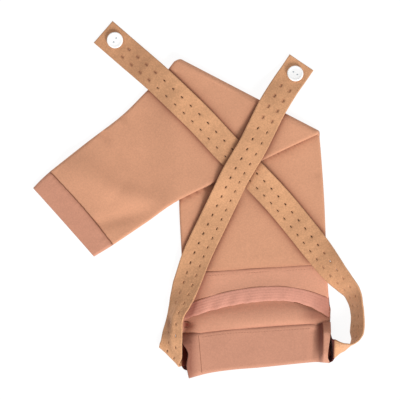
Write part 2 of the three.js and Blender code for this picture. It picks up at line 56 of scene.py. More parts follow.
# Height of the pressed tube, and the steps round each of its two edges
FLAT = 5.2
EDGE_STEPS = 8

# Steps along each tube, and over each of its flat sides
STEPS = {"upper_arm": 64, "elbow": 16, "forearm": 110, "cuff": 26, "band": 30, "casing": 110}
AROUND = {"sleeve": 56, "cuff": 90, "band": 64, "casing": 44}

# Elbow fold, and where beside the upper arm the forearm sinks to the floor
FOLD = {
    "left": (-19.6, 148.0),
    "right": (127.3, 71.7),
    "radius": 5.6,
    "left_drift": 0.42,
    "right_drift": 0.25,
}
DROP = {"from": -17.0, "to": -58.0}

# Section ends of the upper arm, from the shoulder seam to the elbow fold
UPPER_ARM = [
    ((-17.0, -76.8), (133.9, -66.9)),
    ((-18.2, -50.0), (133.0, -36.0)),
    ((-20.4, 0.0), (131.4, 2.0)),
    ((-19.8, 78.0), (128.8, 40.0)),
]

# Section ends of the forearm, from the elbow fold to the cuff seam, as it lies folded over
FOREARM = [
    ((-37.0, 130.6), (97.0, 56.0)),
    ((-54.8, 113.6), (41.0, 29.0)),
    ((-80.8, 88.0), (-19.8, 0.2)),
    ((-117.8, 59.7), (-54.2, -23.2)),
    ((-155.4, 30.0), (-89.3, -46.9)),
]
CUFF = [
    ((-155.8, 29.6), (-89.7, -47.3)),
    ((-164.8, 21.4), (-99.4, -53.2)),
    ((-173.2, 12.6), (-109.4, -59.2)),
]

# How far the wrist seam bows out, and how far up and down the arm that shows
WRIST_BOW = 1.8
WRIST_REACH = 16

# How deep and how wide the cloth is drawn in at its seams
SHOULDER_DIP = (0.22, 1.6)
SLEEVE_DIP = (0.3, 1.8)
CUFF_DIP = (0.34, 1.8)

# Top band, its arched hem, and the back seam
BAND_SEAM = ((-17.0, -77.2), (133.9, -67.3))
HEM_SEAM = {"crest": 0.64, "top": -89.9, "left": 21.0, "right": 12.5}
HEM_EDGE = {"crest": 0.67, "top": -105.0, "left": 21.0, "right": 19.0}
BAND_BACK = ((-17.4, -138.9), (138.0, -126.6))
BAND_LONG = 60
BACK_BOW = 2.2
MOUTH_LIFT = 6.0

# Hem: width and length of its cloth in metres, its grid, and the share of the mouth's lift at its seam
HEM_CLOTH = (0.0152, 0.14)
HEM_GRID = (36, 150)
HEM_LIFT = 0.75

# Back of the band: climb to the casing, further climb at the flared end, reach under it, and dip of its lip
BACK_CLIMB = 6.4
END_CLIMB = 2.4
BACK_REACH = 2.4
LIP_DIP = 1.4

# Casing sections from left to right: front fold, back seam, height, and how far the lower lip sticks out
CASING = [
    ((-10.2, -186.6), (-20.0, -139.6), 11.5, -5.0),
    ((10.6, -181.2), (8.6, -136.2), 7.6, 0.0),
    ((36.0, -177.6), (36.0, -133.2), 7.0, 0.0),
    ((64.2, -175.3), (62.0, -132.0), 7.0, 0.0),
    ((96.0, -172.0), (96.0, -129.5), 7.2, 0.0),
    ((114.0, -170.2), (115.5, -128.1), 7.4, 0.0),
    ((121.0, -169.6), (122.0, -127.8), 8.4, 0.0),
    ((125.6, -169.6), (126.6, -127.6), 11.0, 0.0),
    ((129.0, -169.8), (130.0, -127.5), 17.4, 0.3),
    ((136.6, -170.4), (138.0, -127.4), 17.6, 5.8),
]
LEFT_LENS = (0.18, 0.85)
RIGHT_LENS = (0.02, 0.76)

# Casing ends: how far the upper lips stand out or draw back, lift of the lower right lip, and the crease
LEFT_POUT = 4.8
RIGHT_DRAW = 2.4
LIP_LIFT = 8.0
CREASE = {"from": 119.0, "to": 121.4, "wide": 4.0, "deep": 2.4}

# Strap centre line and roll, from the upper left end round the right loop into the casing
STRAP_RIGHT = [
    (-99.9, 176.1, 1.0, 0),
    (-72.6, 152.4, 2.2, -2),
    (-42.4, 125.9, 9.6, -8),
    (-20.0, 104.6, 12.4, -3),
    (1.5, 83.6, 12.6, 0),
    (29.7, 53.3, 12.6, 0),
    (47.0, 36.2, 12.6, 0),
    (64.0, 19.0, 10.4, 0),
    (85.1, -3.7, 7.2, 0),
    (108.0, -31.5, 6.8, 0),
    (122.7, -50.2, 9.2, -8),
    (140.4, -73.2, 15.2, -34),
    (151.9, -86.6, 16.4, -50),
    (160.3, -97.0, 15.6, -60),
    (164.5, -108.6, 14.9, -66),
    (165.7, -122.3, 14.8, -68),
    (165.2, -138.0, 14.9, -68),
    (163.2, -146.2, 15.2, -84),
    (158.2, -151.6, 15.6, -98),
    (152.0, -153.9, 15.8, -109),
]

# Strap's north and south edge as it dives over the casing's lower lip into the mouth
STRAP_DIVE = [
    ((146.8, -147.9, 28.6), (147.6, -161.2, 4.2)),
    ((141.4, -145.0, 25.0), (142.6, -164.2, 10.4)),
    ((139.5, -144.8, 22.4), (140.8, -164.8, 9.4)),
    ((138.6, -144.4, 14.0), (139.6, -165.2, 5.6)),
    ((137.6, -144.0, 6.4), (138.2, -165.4, 3.2)),
    ((135.4, -143.4, 3.2), (135.8, -165.4, 2.6)),
    ((131.0, -142.8, 2.5), (131.2, -165.2, 2.4)),
]

# Strap centre line and roll inside the casing
STRAP_TUNNEL = [
    (125.0, -153.6, 2.4, -180),
    (108.0, -152.4, 2.4, -180),
    (60.0, -154.4, 2.4, -180),
    (22.0, -157.6, 2.4, -180),
    (8.0, -159.5, 2.3, -180),
]
STRAP_FOLD = {"at": (-29.4, -163.8), "heading": -45.0, "radius": 1.8}
ROOT_FROM = (0.0, -160.6)
ROOT_HEIGHT = 2.2
DRAWN_IN = 0.75
ROOT_ROWS = [(4, 0.3), (10, 0.65), (17, 0.95), (25, 1.0)]

# Strap's left and right edge as it rises from its diagonal fold, standing on its left edge
STRAP_RISE = [
    ((-39.2, -146.6, 4.6), (-17.6, -165.6, 10.6)),
    ((-38.0, -142.0, 3.4), (-17.2, -156.0, 14.4)),
    ((-36.6, -136.5, 2.4), (-16.8, -145.5, 18.0)),
    ((-34.9, -130.5, 1.4), (-16.6, -134.5, 20.6)),
    ((-33.2, -124.5, 1.2), (-15.9, -125.0, 22.2)),
    ((-31.9, -118.5, 1.6), (-13.2, -118.0, 22.4)),
    ((-30.6, -111.0, 2.6), (-9.0, -111.5, 21.0)),
    ((-29.3, -100.5, 4.2), (-4.4, -103.5, 18.8)),
]

# Strap centre line and roll, from there to the upper right end
STRAP_LEFT = [
    (-13.2, -89.5, 11.0, 24),
    (-1.6, -57.5, 8.2, 6),
    (16.0, -20.5, 7.4, -2),
    (28.0, 4.5, 10.8, -8),
    (37.7, 24.5, 14.2, -3),
    (46.5, 39.5, 15.2, 0),
    (55.5, 54.5, 15.2, 0),
    (67.0, 77.5, 13.4, 0),
    (77.2, 97.7, 12.6, 0),
    (90.2, 118.6, 8.4, 10),
    (99.4, 131.8, 4.0, 6),
    (107.7, 144.0, 1.6, 0),
]
STRAP_COLUMNS = 20
STRAP_FINE = 60
STRAP_ROW = 2

# Slack of the web: mean lift, then height, length, change across and seed of each wave; rolled edge; crease
SLACK = 0.45
SLACK_WAVES = [(0.75, 19, 0.5, 1.0), (0.35, 7, 1.4, 6.0)]
SELVEDGE = 0.22
STRAP_CREASE = 4.6

# Buttonholes: grid column and half width of each row of holes, then where the rows start and how they tighten
HOLE_COLUMNS = {7: 0.55, 14: 0.4}
HOLE_LENGTH = 3.0
RIGHT_HOLES = {"first": 32.6, "until": 420.0, "tight_from": 170.0}
LEFT_HOLES = {"first": 33.6, "until": 350.0, "tight_from": 80.0}
# Painted shade round the holes and round those near the ends, and how near the ends those are
HOLE_SHADE = 0.12
END_HOLE_SHADE = 0.6
END_HOLES = 75.0

# Grid rows in a hole, row spacing between holes, length of the tightening, and how far slits narrow or shut
HOLE_ROWS = 3
MARK_GAP = 1.05
TIGHTEN_OVER = 60
SLIT_TAPER = 0.35
SLIT_SHUT = 0.06

# Soft shade on the cloth: how dark and how fast it fades, and for the strap how near it lies and how far down
STRAP_SHADE = {"dark": 0.72, "fade": 3.0, "near": 3.0, "clear": 9.0, "until": -130}
BAND_SHADE = {"dark": 0.34, "fade": 2.2}
CASING_SHADE = {"dark": 0.34, "fade": 1.5}
EDGE_SHADE = {"dark": 0.62, "fade": 1.6}
WRIST_SHADE = {"dark": 0.4, "fade": 1.3}
END_SHADE = 0.14
DEPTHS = {"hem": 0.3, "under": 0.55, "gathers": 0.4, "crease": 0.86, "mouth": 0.6, "facing": 0.62}

# Painted shade in the gathers and where the strap is pinched: place, size and depth
KNOT = {"at": (-12.2, -130.4), "size": (5.6, 5.2), "dark": 1.0}
NOTCH = {"at": (-30.6, -129.0), "size": (2.8, 9.0), "dark": 0.5}

# What is left of a cloth's red, green and blue where no light gets
UNLIT = (0.24, 0.05, 0.03)
WHITE = (1.0, 1.0, 1.0, 1.0)

# How much threads and fuzz darken a cloth, the mean that keeps its colour, and the height of the fuzz
THREAD_SHADE = 0.55
FUZZ_SHADE = 2.2
MEAN_SHADE = 0.875
FUZZ_HEIGHT = 0.6

# Buttons: distance from the strap's end, distance from its middle line, and turn
LEFT_BUTTON = (15.2, -1.4, 7)
RIGHT_BUTTON = (14.4, 1.4, -1)

# Button outline from the middle of its foot over the rim: distance in from the rim, and height
BUTTON_PROFILE = [
    (1.6, 0.0),
    (0.5, 0.35),
    (0.0, 1.2),
    (0.12, 2.1),
    (0.5, 2.75),
    (1.0, 3.0),
    (1.5, 2.92),
    (2.1, 2.7),
    (3.0, 2.54),
    (4.4, 2.5),
]
BUTTON_HOLE = {"aside": 2.5, "radius": 0.85, "drill": 12}
BUTTON_THREAD = {"radius": 1.0, "high": 1.35}
BUTTON_LIFT = 0.8

# Lamps, in metres: place, size, and share of the main light's power; then the camera
LAMPS = {
    "key": ((1.6, -2.7, 2.3), 1.5, 1.0),
    "fill": ((-1.9, 2.4, 2.3), 1.6, 0.13),
}
SENSOR = 36.0
CAMERA_ASIDE = 0.00146
CLOTH_HEIGHT = 0.006

# Soft creases and swells of the forearm, the upper arm and the band's left end: start, end, width and height
FOREARM_RELIEF = [
    ((-140.0, 42.0), (-84.0, 6.0), 17.0, 7.0),
    ((-104.0, 13.0), (-40.0, -4.0), 11.0, 3.0),
    ((-118.0, -28.0), (-52.0, -10.0), 8.0, -2.8),
    ((-112.0, 82.0), (-48.0, 16.0), 8.0, -1.3),
    ((-106.0, 77.0), (-93.0, 62.0), 3.5, -2.2),
    ((-86.0, 94.0), (-75.0, 82.0), 3.5, -2.2),
    ((-70.0, 84.0), (-26.0, 28.0), 15.0, 1.0),
]
UPPER_RELIEF = [
    ((120.0, 27.5), (128.0, 28.5), 3.0, -0.9),
    ((30.0, -66.0), (110.0, -60.0), 5.0, 0.35),
    ((118.0, 52.0), (124.0, 10.0), 9.0, -0.7),
    ((10.0, 20.0), (-14.0, -40.0), 12.0, 0.5),
]
GATHERS = [
    ((-15.0, -127.0), (-6.0, -130.0), 1.8, -3.4),
    ((-16.0, -133.0), (-7.0, -134.0), 1.6, -3.0),
    ((-15.0, -123.5), (-9.0, -125.0), 1.4, -2.0),
]

# Lines of the tucks in those gathers, drawn as dark lines of painted shade in their creases
TUCKS = [
    ((-14.6, -127.6), (-11.0, -128.4), (-7.6, -130.2)),
    ((-14.8, -133.2), (-11.4, -134.0), (-8.4, -134.4)),
]
TUCK_HEIGHT = 2.2

# Stitches that show, and those that overlap in the seam lines with the thickness of each line; the under line
# and the tuck lines are painted shade, not seams
TOP_STITCH = {"long": 2.2, "gap": 0.7, "thick": 0.36}
SEAM_STITCH = {"long": 2.4, "gap": -0.9}
SEAM_THICK = {
    "under": 1.7,
    "tuck": 0.9,
    "wrist": 1.1,
    "front": 0.42,
    "arched": 0.6,
    "back": 0.45,
    "hem": 0.55,
}


def clamp(value, low=0.0, high=1.0):
    return min(high, max(low, value))


def ease(value):
    value = clamp(value)
    return value * value * (3 - 2 * value)


def ramp(value, start, long):
    """Climbs smoothly from 0 at the start to 1."""
    return ease((value - start) / long)


def mix(a, b, share):
    return a + (b - a) * share


def bell(value):
    return math.exp(-(value**2))


def blot(spot, mark):
    a, b = [(spot[k] - mark["at"][k]) / mark["size"][k] for k in (0, 1)]
    return mark["dark"] * math.exp(-(a**2) - b**2)


def dip(seam, far):
    return seam[0] * bell(far / seam[1])


def hump(share):
    return math.sin(math.pi * clamp(share))


def spread(start, reach, steps):
    return [start + reach * i / steps for i in range(steps + 1)]


def pair(values):
    return Vector((values[0], values[1]))


def running(points):
    """Distance along a line of points, at each of them."""
    gone = [0.0]
    for a, b in zip(points, points[1:]):
        gone.append(gone[-1] + (b - a).length)
    return gone


def stretch(points, share):
    """The stretch between two points that a share of a curve falls in, and how far into it."""
    place = share * (len(points) - 1)
    at = min(int(place), len(points) - 2)
    return at, place - at


def row_distances(rows, k):
    """Distance of each row's middle from the middle of one of them."""
    middles = [(a + b) / 2 for a, b in rows]
    return [(middle - middles[k]).length for middle in middles]


def heading(first, last):
    return (last[0] + last[1] - first[0] - first[1]).normalized()


class ClothFold:
    """A fold line that flat cloth is rolled over."""

    def __init__(self, start, along, radius):
        self.along = along
        self.across = Vector((-along.y, along.x))
        self.start = start - self.across * radius
        self.radius = radius

    def past(self, p):
        return (p - self.start).dot(self.across)

    def bend(self, p, z):
        slide = (p - self.start).dot(self.along)
        past = self.past(p)
        turn = clamp(past / self.radius, 0.0, math.pi)
        rest = past - turn * self.radius
        out = (self.radius - z) * math.sin(turn) + rest * math.cos(turn)
        up = self.radius - (self.radius - z) * math.cos(turn)
        plan = self.start + self.along * slide + self.across * out
        return Vector((plan.x, plan.y, up))

    def unfold(self, values):
        away = pair(values) - self.start
        past = math.pi * self.radius - away.dot(self.across)
        return self.start + self.along * away.dot(self.along) + self.across * past


FOLD_RUN = (pair(FOLD["right"]) - pair(FOLD["left"])).normalized()
ELBOW = ClothFold(pair(FOLD["left"]), FOLD_RUN, FOLD["radius"])


def spline(points, share):
    """A smooth curve through evenly counted points."""
    at, w = stretch(points, share)
    a, b = points[max(at - 1, 0)], points[at]
    c, d = points[at + 1], points[min(at + 2, len(points) - 1)]
    v0, v1 = (c - a) * 0.5, (d - b) * 0.5
    w2, w3 = w * w, w * w * w
    return (b * 2 - c * 2 + v0 + v1) * w3 + (c * 3 - b * 3 - v0 * 2 - v1) * w2 + v0 * w + b


def between(rows, steps):
    lefts, rights = [r[0] for r in rows], [r[1] for r in rows]
    return [(spline(lefts, i / steps), spline(rights, i / steps)) for i in range(steps + 1)]


def relief(p, table):
    """Height of soft ridges and creases, each fading towards both of its ends."""
    total = 0.0
    for start, end, wide, high in table:
        a, b = pair(start), pair(end)
        share = clamp((p - a).dot(b - a) / (b - a).length_squared)
        away = (p - a.lerp(b, share)).length
        total += high * hump(mix(0.1, 0.9, share)) * bell(away / wide)
    return total


def waver(p, size, depth, seed=0.0):
    return depth * noise.noise(Vector((p.x / size, p.y / size, seed)))


def section(flat_steps):
    """Outline of a pressed tube, as shares of its flat and of its edge radius."""
    outline = []
    for side in (1, -1):
        for i in range(EDGE_STEPS + 1):
            turn = side * (-math.pi / 2 + math.pi * i / EDGE_STEPS)
            outline.append((side, side * math.cos(turn), math.sin(turn)))
        for i in range(1, flat_steps):
            outline.append((side * (1 - 2 * i / flat_steps), 0.0, side))
    return outline


def grid_place(vert, columns, rows):
    return round((vert.co.x + 1) / 2 * columns), round((vert.co.y + 1) / 2 * rows)


def cloth_grid(columns, rows, across, along):
    """A grid of cloth, with each corner's place on the flat cloth in metres."""
    bm = bmesh.new()
    cloth = bm.loops.layers.uv.new("cloth")
    bmesh.ops.create_grid(bm, x_segments=columns, y_segments=rows, size=1)
    for face in bm.faces:
        for loop in face.loops:
            i, j = grid_place(loop.vert, columns, rows)
            loop[cloth].uv = (across[i], along[j])
    return bm


def pressed_tube(name, rows, highs, place, flat_steps):
    """A pressed tube: a grid rolled round the section and laid along the rows, one wall thick."""
    outline = section(flat_steps)
    columns, last = len(outline), len(rows) - 1
    half = sum((a - b).length for a, b in rows) / len(rows) / 2
    flat = half - highs[0] / 2
    edge = [Vector((f * flat + c * highs[0] / 2, s * highs[0] / 2)) for f, c, s in outline]
    around = [far * MM for far in running(edge + edge[:1])]
    along = [far * MM for far in running([(a + b) / 2 for a, b in rows])]
    bm = cloth_grid(columns, last, around, along)
    mouth = [face for face in bm.faces if min(grid_place(v, columns, last)[1] for v in face.verts) == 0]
    for vert in bm.verts:
        i, j = grid_place(vert, columns, last)
        f, c, s = outline[i % columns]
        left, right = rows[j]
        wide = (left - right).length / 2
        across = f * (wide - highs[j] / 2) + c * highs[j] / 2
        share = (across / wide + 1) / 2
        vert.co = place(left.lerp(right, share), s * highs[j] / 2, j, share) * MM
    bmesh.ops.remove_doubles(bm, verts=bm.verts, dist=1e-6)
    bmesh.ops.recalc_face_normals(bm, faces=bm.faces)
    middles = [face.calc_center_median() for face in mouth]
    middle = sum(middles, Vector()) / len(middles)
    if sum(face.normal.dot(spot - middle) for face, spot in zip(mouth, middles)) < 0:
        bmesh.ops.reverse_faces(bm, faces=bm.faces)
    return finished(name, bm)


def finished(name, bm):
    mesh = bpy.data.meshes.new(name)
    bm.to_mesh(mesh)
    bm.free()
    mesh.polygons.foreach_set("use_smooth", [True] * len(mesh.polygons))
    piece = bpy.data.objects.new(name, mesh)
    bpy.context.scene.collection.objects.link(piece)
    return piece


def give_wall(piece, thick, offset=-1.0):
    wall = piece.modifiers.new("wall", "SOLIDIFY")
    wall.thickness = thick
    wall.offset = offset
    wall.use_even_offset = True
    return piece


def shade_by_place(piece, measure):
    """Stores how little light reaches each point of a piece, as painted shade for its material."""
    shade = piece.data.attributes.new("inside", "FLOAT", "POINT")
    shade.data.foreach_set("value", [measure(vert.co / MM) for vert in piece.data.vertices])


def dress(piece, material):
    piece.data.materials.append(material)
    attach(piece, "root")
    return piece


# Sleeve and cuff lie on the same roll of cloth: up the arm, over the elbow fold and down the forearm
def sleeve_rows():
    roll = math.pi * ELBOW.radius
    ends = [(pair(FOLD[side]) - ELBOW.start).dot(ELBOW.along) for side in ("left", "right")]
    drifts = (FOLD["left_drift"], FOLD["right_drift"])
    rolled = []
    for past in spread(0.0, roll, STEPS["elbow"]):
        rolled.append(
            tuple(
                ELBOW.start + ELBOW.along * (end + drift * (roll / 2 - past)) + ELBOW.across * past
                for end, drift in zip(ends, drifts)
            )
        )
    lower = [(pair(a), pair(b)) for a, b in UPPER_ARM]
    upper = [(ELBOW.unfold(a), ELBOW.unfold(b)) for a, b in FOREARM]
    lower = between(lower + [rolled[0]], STEPS["upper_arm"])
    upper = between([rolled[-1]] + upper, STEPS["forearm"])
    return lower[:-1] + rolled + upper[1:]


def settle(p, past):
    """The forearm sinks to the floor beyond the upper arm."""
    if past > 0:
        share = ease((DROP["from"] - p.x) / (DROP["from"] - DROP["to"]))
        p.z -= (2 * ELBOW.radius - FLAT) * share * ease(past / (math.pi * ELBOW.radius))
    return p


def on_arm(p, z):
    """Places a point of the flat roll, z from the cloth's middle layer."""
    return settle(ELBOW.bend(p, z + FLAT / 2), ELBOW.past(p))


def arm_relief(spot, past, z, high):
    """Lowers or lifts the wall that faces up."""
    plan = pair(spot)
    if past > math.pi * ELBOW.radius:
        facing = ease(-z / high * 2)
        lift = relief(plan, FOREARM_RELIEF) + waver(plan, 34.0, 0.9, 3.0) + waver(plan, 13.0, 0.2, 4.0)
    else:
        facing = ease(z / high * 2) * (1 - ease(past / 6 + 1))
        lift = relief(plan, UPPER_RELIEF) + waver(plan, 40.0, 0.7, 8.0) + waver(plan, 13.0, 0.22, 5.0)
    spot.z += lift * facing
    return spot


def arch(line, share):
    side = line["crest"] if share < line["crest"] else 1 - line["crest"]
    drop = line["left"] if share < line["crest"] else line["right"]
    return line["top"] - drop * ((share - line["crest"]) / side) ** 2


def mouth_lift(share, out):
    share = clamp(share)
    return MOUTH_LIFT * out**2 * (0.65 + 0.5 * share) * max(hump(share), 0.0) ** 0.5


def on_band(p, z, out, share):
    """Places a point of the top band: the front ends at the hem's arch, the back runs on to the casing."""
    front = ease((z / FLAT - 0.3) / 0.4)
    bow = BACK_BOW * hump(share)
    back = mix(BAND_BACK[0][1], BAND_BACK[1][1], share) + bow
    end = mix(back, arch(HEM_SEAM, share), front)
    drift = mix(BAND_BACK[0][0] - BAND_SEAM[0][0], BAND_BACK[1][0] - BAND_SEAM[1][0], clamp(share))
    drift *= (p.y - end) / (BAND_SEAM[0][1] - BAND_BACK[0][1])
    lift = mouth_lift(share, out * HEM_LIFT)
    ends = 0.3 + 0.7 * ease(min(share, 1 - share) / 0.12)
    climb = (BACK_CLIMB + END_CLIMB * ramp(p.x, 112, 14)) * ramp(out, 0.55, 0.42) * (1 - front) * ends
    lip = LIP_DIP * ramp(out, 0.95, 0.05) * (1 - front) * ramp(p.x, 25, 30)
    climb -= lip * (1 - ramp(p.x, 126, 6))
    reach = -BACK_REACH * ramp(out, 0.8, 0.2) * (1 - front)
    return Vector((p.x + drift * out, mix(p.y, end, out) + reach, z + lift * ease(z / FLAT) + climb))


def band_edge(side, y):
    """Where the band's side edge is, as it narrows or widens towards the casing."""
    seam, back = BAND_SEAM[side], BAND_BACK[side]
    return mix(seam[0], back[0], clamp((seam[1] - y) / (seam[1] - back[1])))


def hem_point(share, across):
    """A point on top of the hem, from its seam at 0 to its ruffled free edge at 1."""
    inner, outer = arch(HEM_SEAM, share) + 1.2, arch(HEM_EDGE, share)
    ruffle = 0.3 * math.sin(2 * math.pi * 9 * share) + waver(Vector((share * 90, 4.0)), 5.0, 1.0, 2.0)
    scallop = 0.3 * math.sin(2 * math.pi * 13 * share + 1.0)
    scallop += waver(Vector((share * 140, 0.0)), 6.0, 1.3, 5.0)
    z = FLAT + mix(mouth_lift(share, HEM_LIFT), mouth_lift(share, 1.0), across)
    z -= 0.9 * (1 - ease(across / 0.14))
    z += 0.5 * hump(across) + ruffle * ramp(across, 0.25, 0.75)
    y = mix(inner, outer, across) + scallop * ease((across - 0.5) * 2) * 0.6
    return Vector((mix(band_edge(0, y) - 0.3, band_edge(1, y) + 0.3, share), y, z))


def casing_row(share):
    lefts, rights = [pair(r[0]) for r in CASING], [pair(r[1]) for r in CASING]
    sizes = [Vector((r[2], r[3])) for r in CASING]
    size = spline(sizes, share)
    return spline(lefts, share), spline(rights, share), size.x, size.y


def lens(share, ends):
    """Outline of a gaping mouth from front to back, widest near the front."""
    return hump(clamp((share - ends[0]) / (ends[1] - ends[0])) ** 0.5)


def on_casing(p, z, row, share):
    """Places a point of the casing: lips apart at both mouths, the right end flared up from a crease."""
    left, right, high, lip = row
    out = (right - left).normalized()
    low = 1 - ease(z / high)
    top = ease(z / high * 2 - 1)
    gape = lens(share, LEFT_LENS if lip < 0 else RIGHT_LENS)
    push = lip * low * gape
    leftmost, rightmost = 1 - ramp(p.x, -16, 16), ramp(p.x, 128, 8)
    push += top * (LEFT_POUT * bell((share - 0.56) / 0.2) * leftmost - RIGHT_DRAW * rightmost * gape)
    flare = max(leftmost, ramp(p.x, 119, 8))
    z *= 1 - 0.42 * flare * ramp(share, 0.72, 0.28) - 0.25 * flare * (1 - ease(share / 0.3))
    z += LIP_LIFT * low * gape * ramp(p.x, 134, 2.6)
    spot = Vector((p.x + out.y * push, p.y - out.x * push, z))
    crease = bell((spot.x - mix(CREASE["from"], CREASE["to"], share)) / CREASE["wide"])
    crease *= mix(0.3, 1.0, ease(share * 1.6))
    crease *= 1 - ramp(share, 0.76, 0.14)
    plan = pair(spot)
    swell = (waver(plan, 30.0, 0.8, 4.0) + waver(plan, 10.0, 0.14, 7.0)) * (1 - ramp(share, 0.75, 0.2))
    spot.z += top * (swell - CREASE["deep"] * crease)
    return spot


# Strap: rows of edge points along its middle surface, then a frame at any distance along it
def rope(points, share):
    """A curve through unevenly spaced points that neither loops nor overshoots."""
    at, w = stretch(points, share)
    b, c = points[at], points[at + 1]
    a = points[at - 1] if at > 0 else b * 2 - c
    d = points[at + 2] if at + 2 < len(points) else c * 2 - b
    ga, gb, gc = math.sqrt((b - a).length), math.sqrt((c - b).length), math.sqrt((d - c).length)
    t1 = ((b - a) / ga - (c - a) / (ga + gb) + (c - b) / gb) * gb
    t2 = ((c - b) / gb - (d - b) / (gb + gc) + (d - c) / gc) * gb
    return b + t1 * w + (c * 3 - b * 3 - t1 * 2 - t2) * w**2 + (b * 2 - c * 2 + t1 + t2) * w**3


def ribbon_rows(stations, width):
    points = [Vector(s[:3]) for s in stations]
    fine = STRAP_FINE * (len(points) - 1)
    spots = [rope(points, i / fine) for i in range(fine + 1)]
    gone = running(spots)
    steps = round(gone[-1] / STRAP_ROW)
    rows, k = [], 0
    for i in range(steps + 1):
        want = gone[-1] * i / steps
        while k < fine - 1 and gone[k + 1] < want:
            k += 1
        share = (k + (want - gone[k]) / (gone[k + 1] - gone[k])) / fine
        s, into = stretch(points, share)
        roll = math.radians(mix(stations[s][3], stations[s + 1][3], into))
        ahead = (rope(points, min(share + 1e-4, 1)) - rope(points, max(share - 1e-4, 0))).normalized()
        level = Vector((ahead.y, -ahead.x, 0)).normalized()
        rise = level.cross(ahead)
        centre = rope(points, share)
        half = (level * math.cos(roll) + rise * math.sin(roll)) * width / 2
        rows.append((centre - half, centre + half))
    return rows


def root_rows(width):
    """Straight out of the casing, over the diagonal fold and back above itself."""
    turn = math.radians(STRAP_FOLD["heading"])
    fold = ClothFold(pair(STRAP_FOLD["at"]), Vector((-math.cos(turn), -math.sin(turn))), STRAP_FOLD["radius"])
    start = pair(ROOT_FROM)
    ahead = (pair(STRAP_FOLD["at"]) - start).normalized()
    side = Vector((-ahead.y, ahead.x))
    reach = (fold.start - start).dot(fold.across) / ahead.dot(fold.across)
    full = math.pi * fold.radius / ahead.dot(fold.across)
    marks = [(a, s) for a, s in ROOT_ROWS if a < reach - 2]
    marks += [(reach + full * i / 10, 1.0) for i in range(11)]
    rows = []
    for distance, skew in marks:
        edges = []
        for sign in (-1, 1):
            step = sign * width / 2
            sheer = skew * step * side.dot(fold.across) / ahead.dot(fold.across)
            spot = fold.bend(start + ahead * (distance - sheer) + side * step, 0.0)
            edges.append(spot + Vector((0, 0, ROOT_HEIGHT)))
        rows.append(tuple(edges))
    return rows


def edge_rows(last, table, first):
    """Both edges as smooth curves through a table of edge points, from one run of the strap to the next."""
    rows = [last] + [(Vector(a), Vector(b)) for a, b in table] + [first]
    lefts, rights = [r[0] for r in rows], [r[1] for r in rows]
    count = 5 * (len(rows) - 1)
    return [(rope(lefts, i / count), rope(rights, i / count)) for i in range(1, count)]


class StrapPath:
    """The strap's middle surface, by distance from its upper left end."""

    def __init__(self, width):
        right, tunnel = ribbon_rows(STRAP_RIGHT, width), ribbon_rows(STRAP_TUNNEL, width * DRAWN_IN)
        root, left = root_rows(width * DRAWN_IN), ribbon_rows(STRAP_LEFT, width)
        self.rows = right + edge_rows(right[-1], STRAP_DIVE, tunnel[0]) + tunnel
        self.rows += root + edge_rows(root[-1], STRAP_RISE, left[0]) + left
        self.middles = [(a + b) / 2 for a, b in self.rows]
        self.gone = running(self.middles)
        self.length = self.gone[-1]

    def at(self, distance):
        i = 1
        while i < len(self.gone) - 1 and self.gone[i] < distance:
            i += 1
        share = (distance - self.gone[i - 1]) / (self.gone[i] - self.gone[i - 1])
        left = self.rows[i - 1][0].lerp(self.rows[i][0], share)
        right = self.rows[i - 1][1].lerp(self.rows[i][1], share)
        ahead = self.middles[min(i + 1, len(self.gone) - 1)] - self.middles[max(i - 2, 0)]
        half = (right - left) / 2
        face = half.cross(ahead).normalized()
        return (left + right) / 2, half, ahead.normalized(), face


def dim(shade, far):
    return shade["dark"] * math.exp(-far / shade["fade"])


def gap_to(spot, start, end):
    """Distance in plan from a point to a straight line between two points."""
    run = end - start
    step = pair(spot) - start
    return (step - run * clamp(step.dot(run) / run.length_squared)).length


def wrist_shade(spot):
    """Shade along the bowed seam between the sleeve and the cuff."""
    start, end = pair(CUFF[0][0]), pair(CUFF[0][1])
    run = end - start
    back = Vector((-run.y, run.x)).normalized()
    step = pair(spot) - start
    share = clamp(step.dot(run) / run.length_squared)
    bowed = run * share + back * (0.4 + WRIST_BOW * hump(share))
    return dim(WRIST_SHADE, (step - bowed).length)


def edge_shade(spot):
    """Shade on the upper arm along the forearm's lower edge."""
    edge = [pair(FOLD["right"])] + [pair(row[1]) for row in FOREARM[:3]]
    return dim(EDGE_SHADE, min(gap_to(spot, a, b) for a, b in zip(edge, edge[1:])))


def band_seam_shade(spot):
    """Shade along the seam between the sleeve and the top band."""
    return dim(BAND_SHADE, gap_to(spot, pair(BAND_SEAM[0]), pair(BAND_SEAM[1])))


def casing_seam_shade(spot):
    """Shade along the bowed seam between the top band's back and the casing."""
    share = clamp((spot.x - BAND_BACK[0][0]) / (BAND_BACK[1][0] - BAND_BACK[0][0]))
    line = mix(BAND_BACK[0][1], BAND_BACK[1][1], share) + BACK_BOW * hump(share) - BACK_REACH
    return dim(CASING_SHADE, abs(spot.y - line))


def strap_shade(path, width, start=0.0):
    """A measure of the light that the strap, from a start along it, keeps from a point of the cloth below."""
    count = round(path.length - start)
    spots = [path.at(start + i)[0] for i in range(count)]
    spots = [spot for spot in spots if spot.y > STRAP_SHADE["until"]]
    tree = KDTree(len(spots))
    for i, spot in enumerate(spots):
        tree.insert((spot.x, spot.y, 0.0), i)
    tree.balance()

    def measure(spot):
        _, i, far = tree.find((spot.x, spot.y, 0.0))
        rise = spots[i].z - spot.z
        if rise < 0:
            return 0.0
        near = 1 - ease((rise - STRAP_SHADE["near"]) / (STRAP_SHADE["clear"] - STRAP_SHADE["near"]))
        return STRAP_SHADE["dark"] * near * math.exp(-max(far - width / 2, 0.0) / STRAP_SHADE["fade"])

    return measure


def whole_strap_shade(context):
    """The same measure for the whole strap at its chosen width."""
    width = context.scene.arm_sleeve.strap.width / MM
    return strap_shade(StrapPath(width), width)


def hole_places(row, near, far):
    """Distances of the buttonholes from one end of the strap."""
    places = [row["first"]]
    while places[-1] < row["until"]:
        places.append(places[-1] + mix(near, far, ramp(places[-1], row["tight_from"], TIGHTEN_OVER)))
    return places


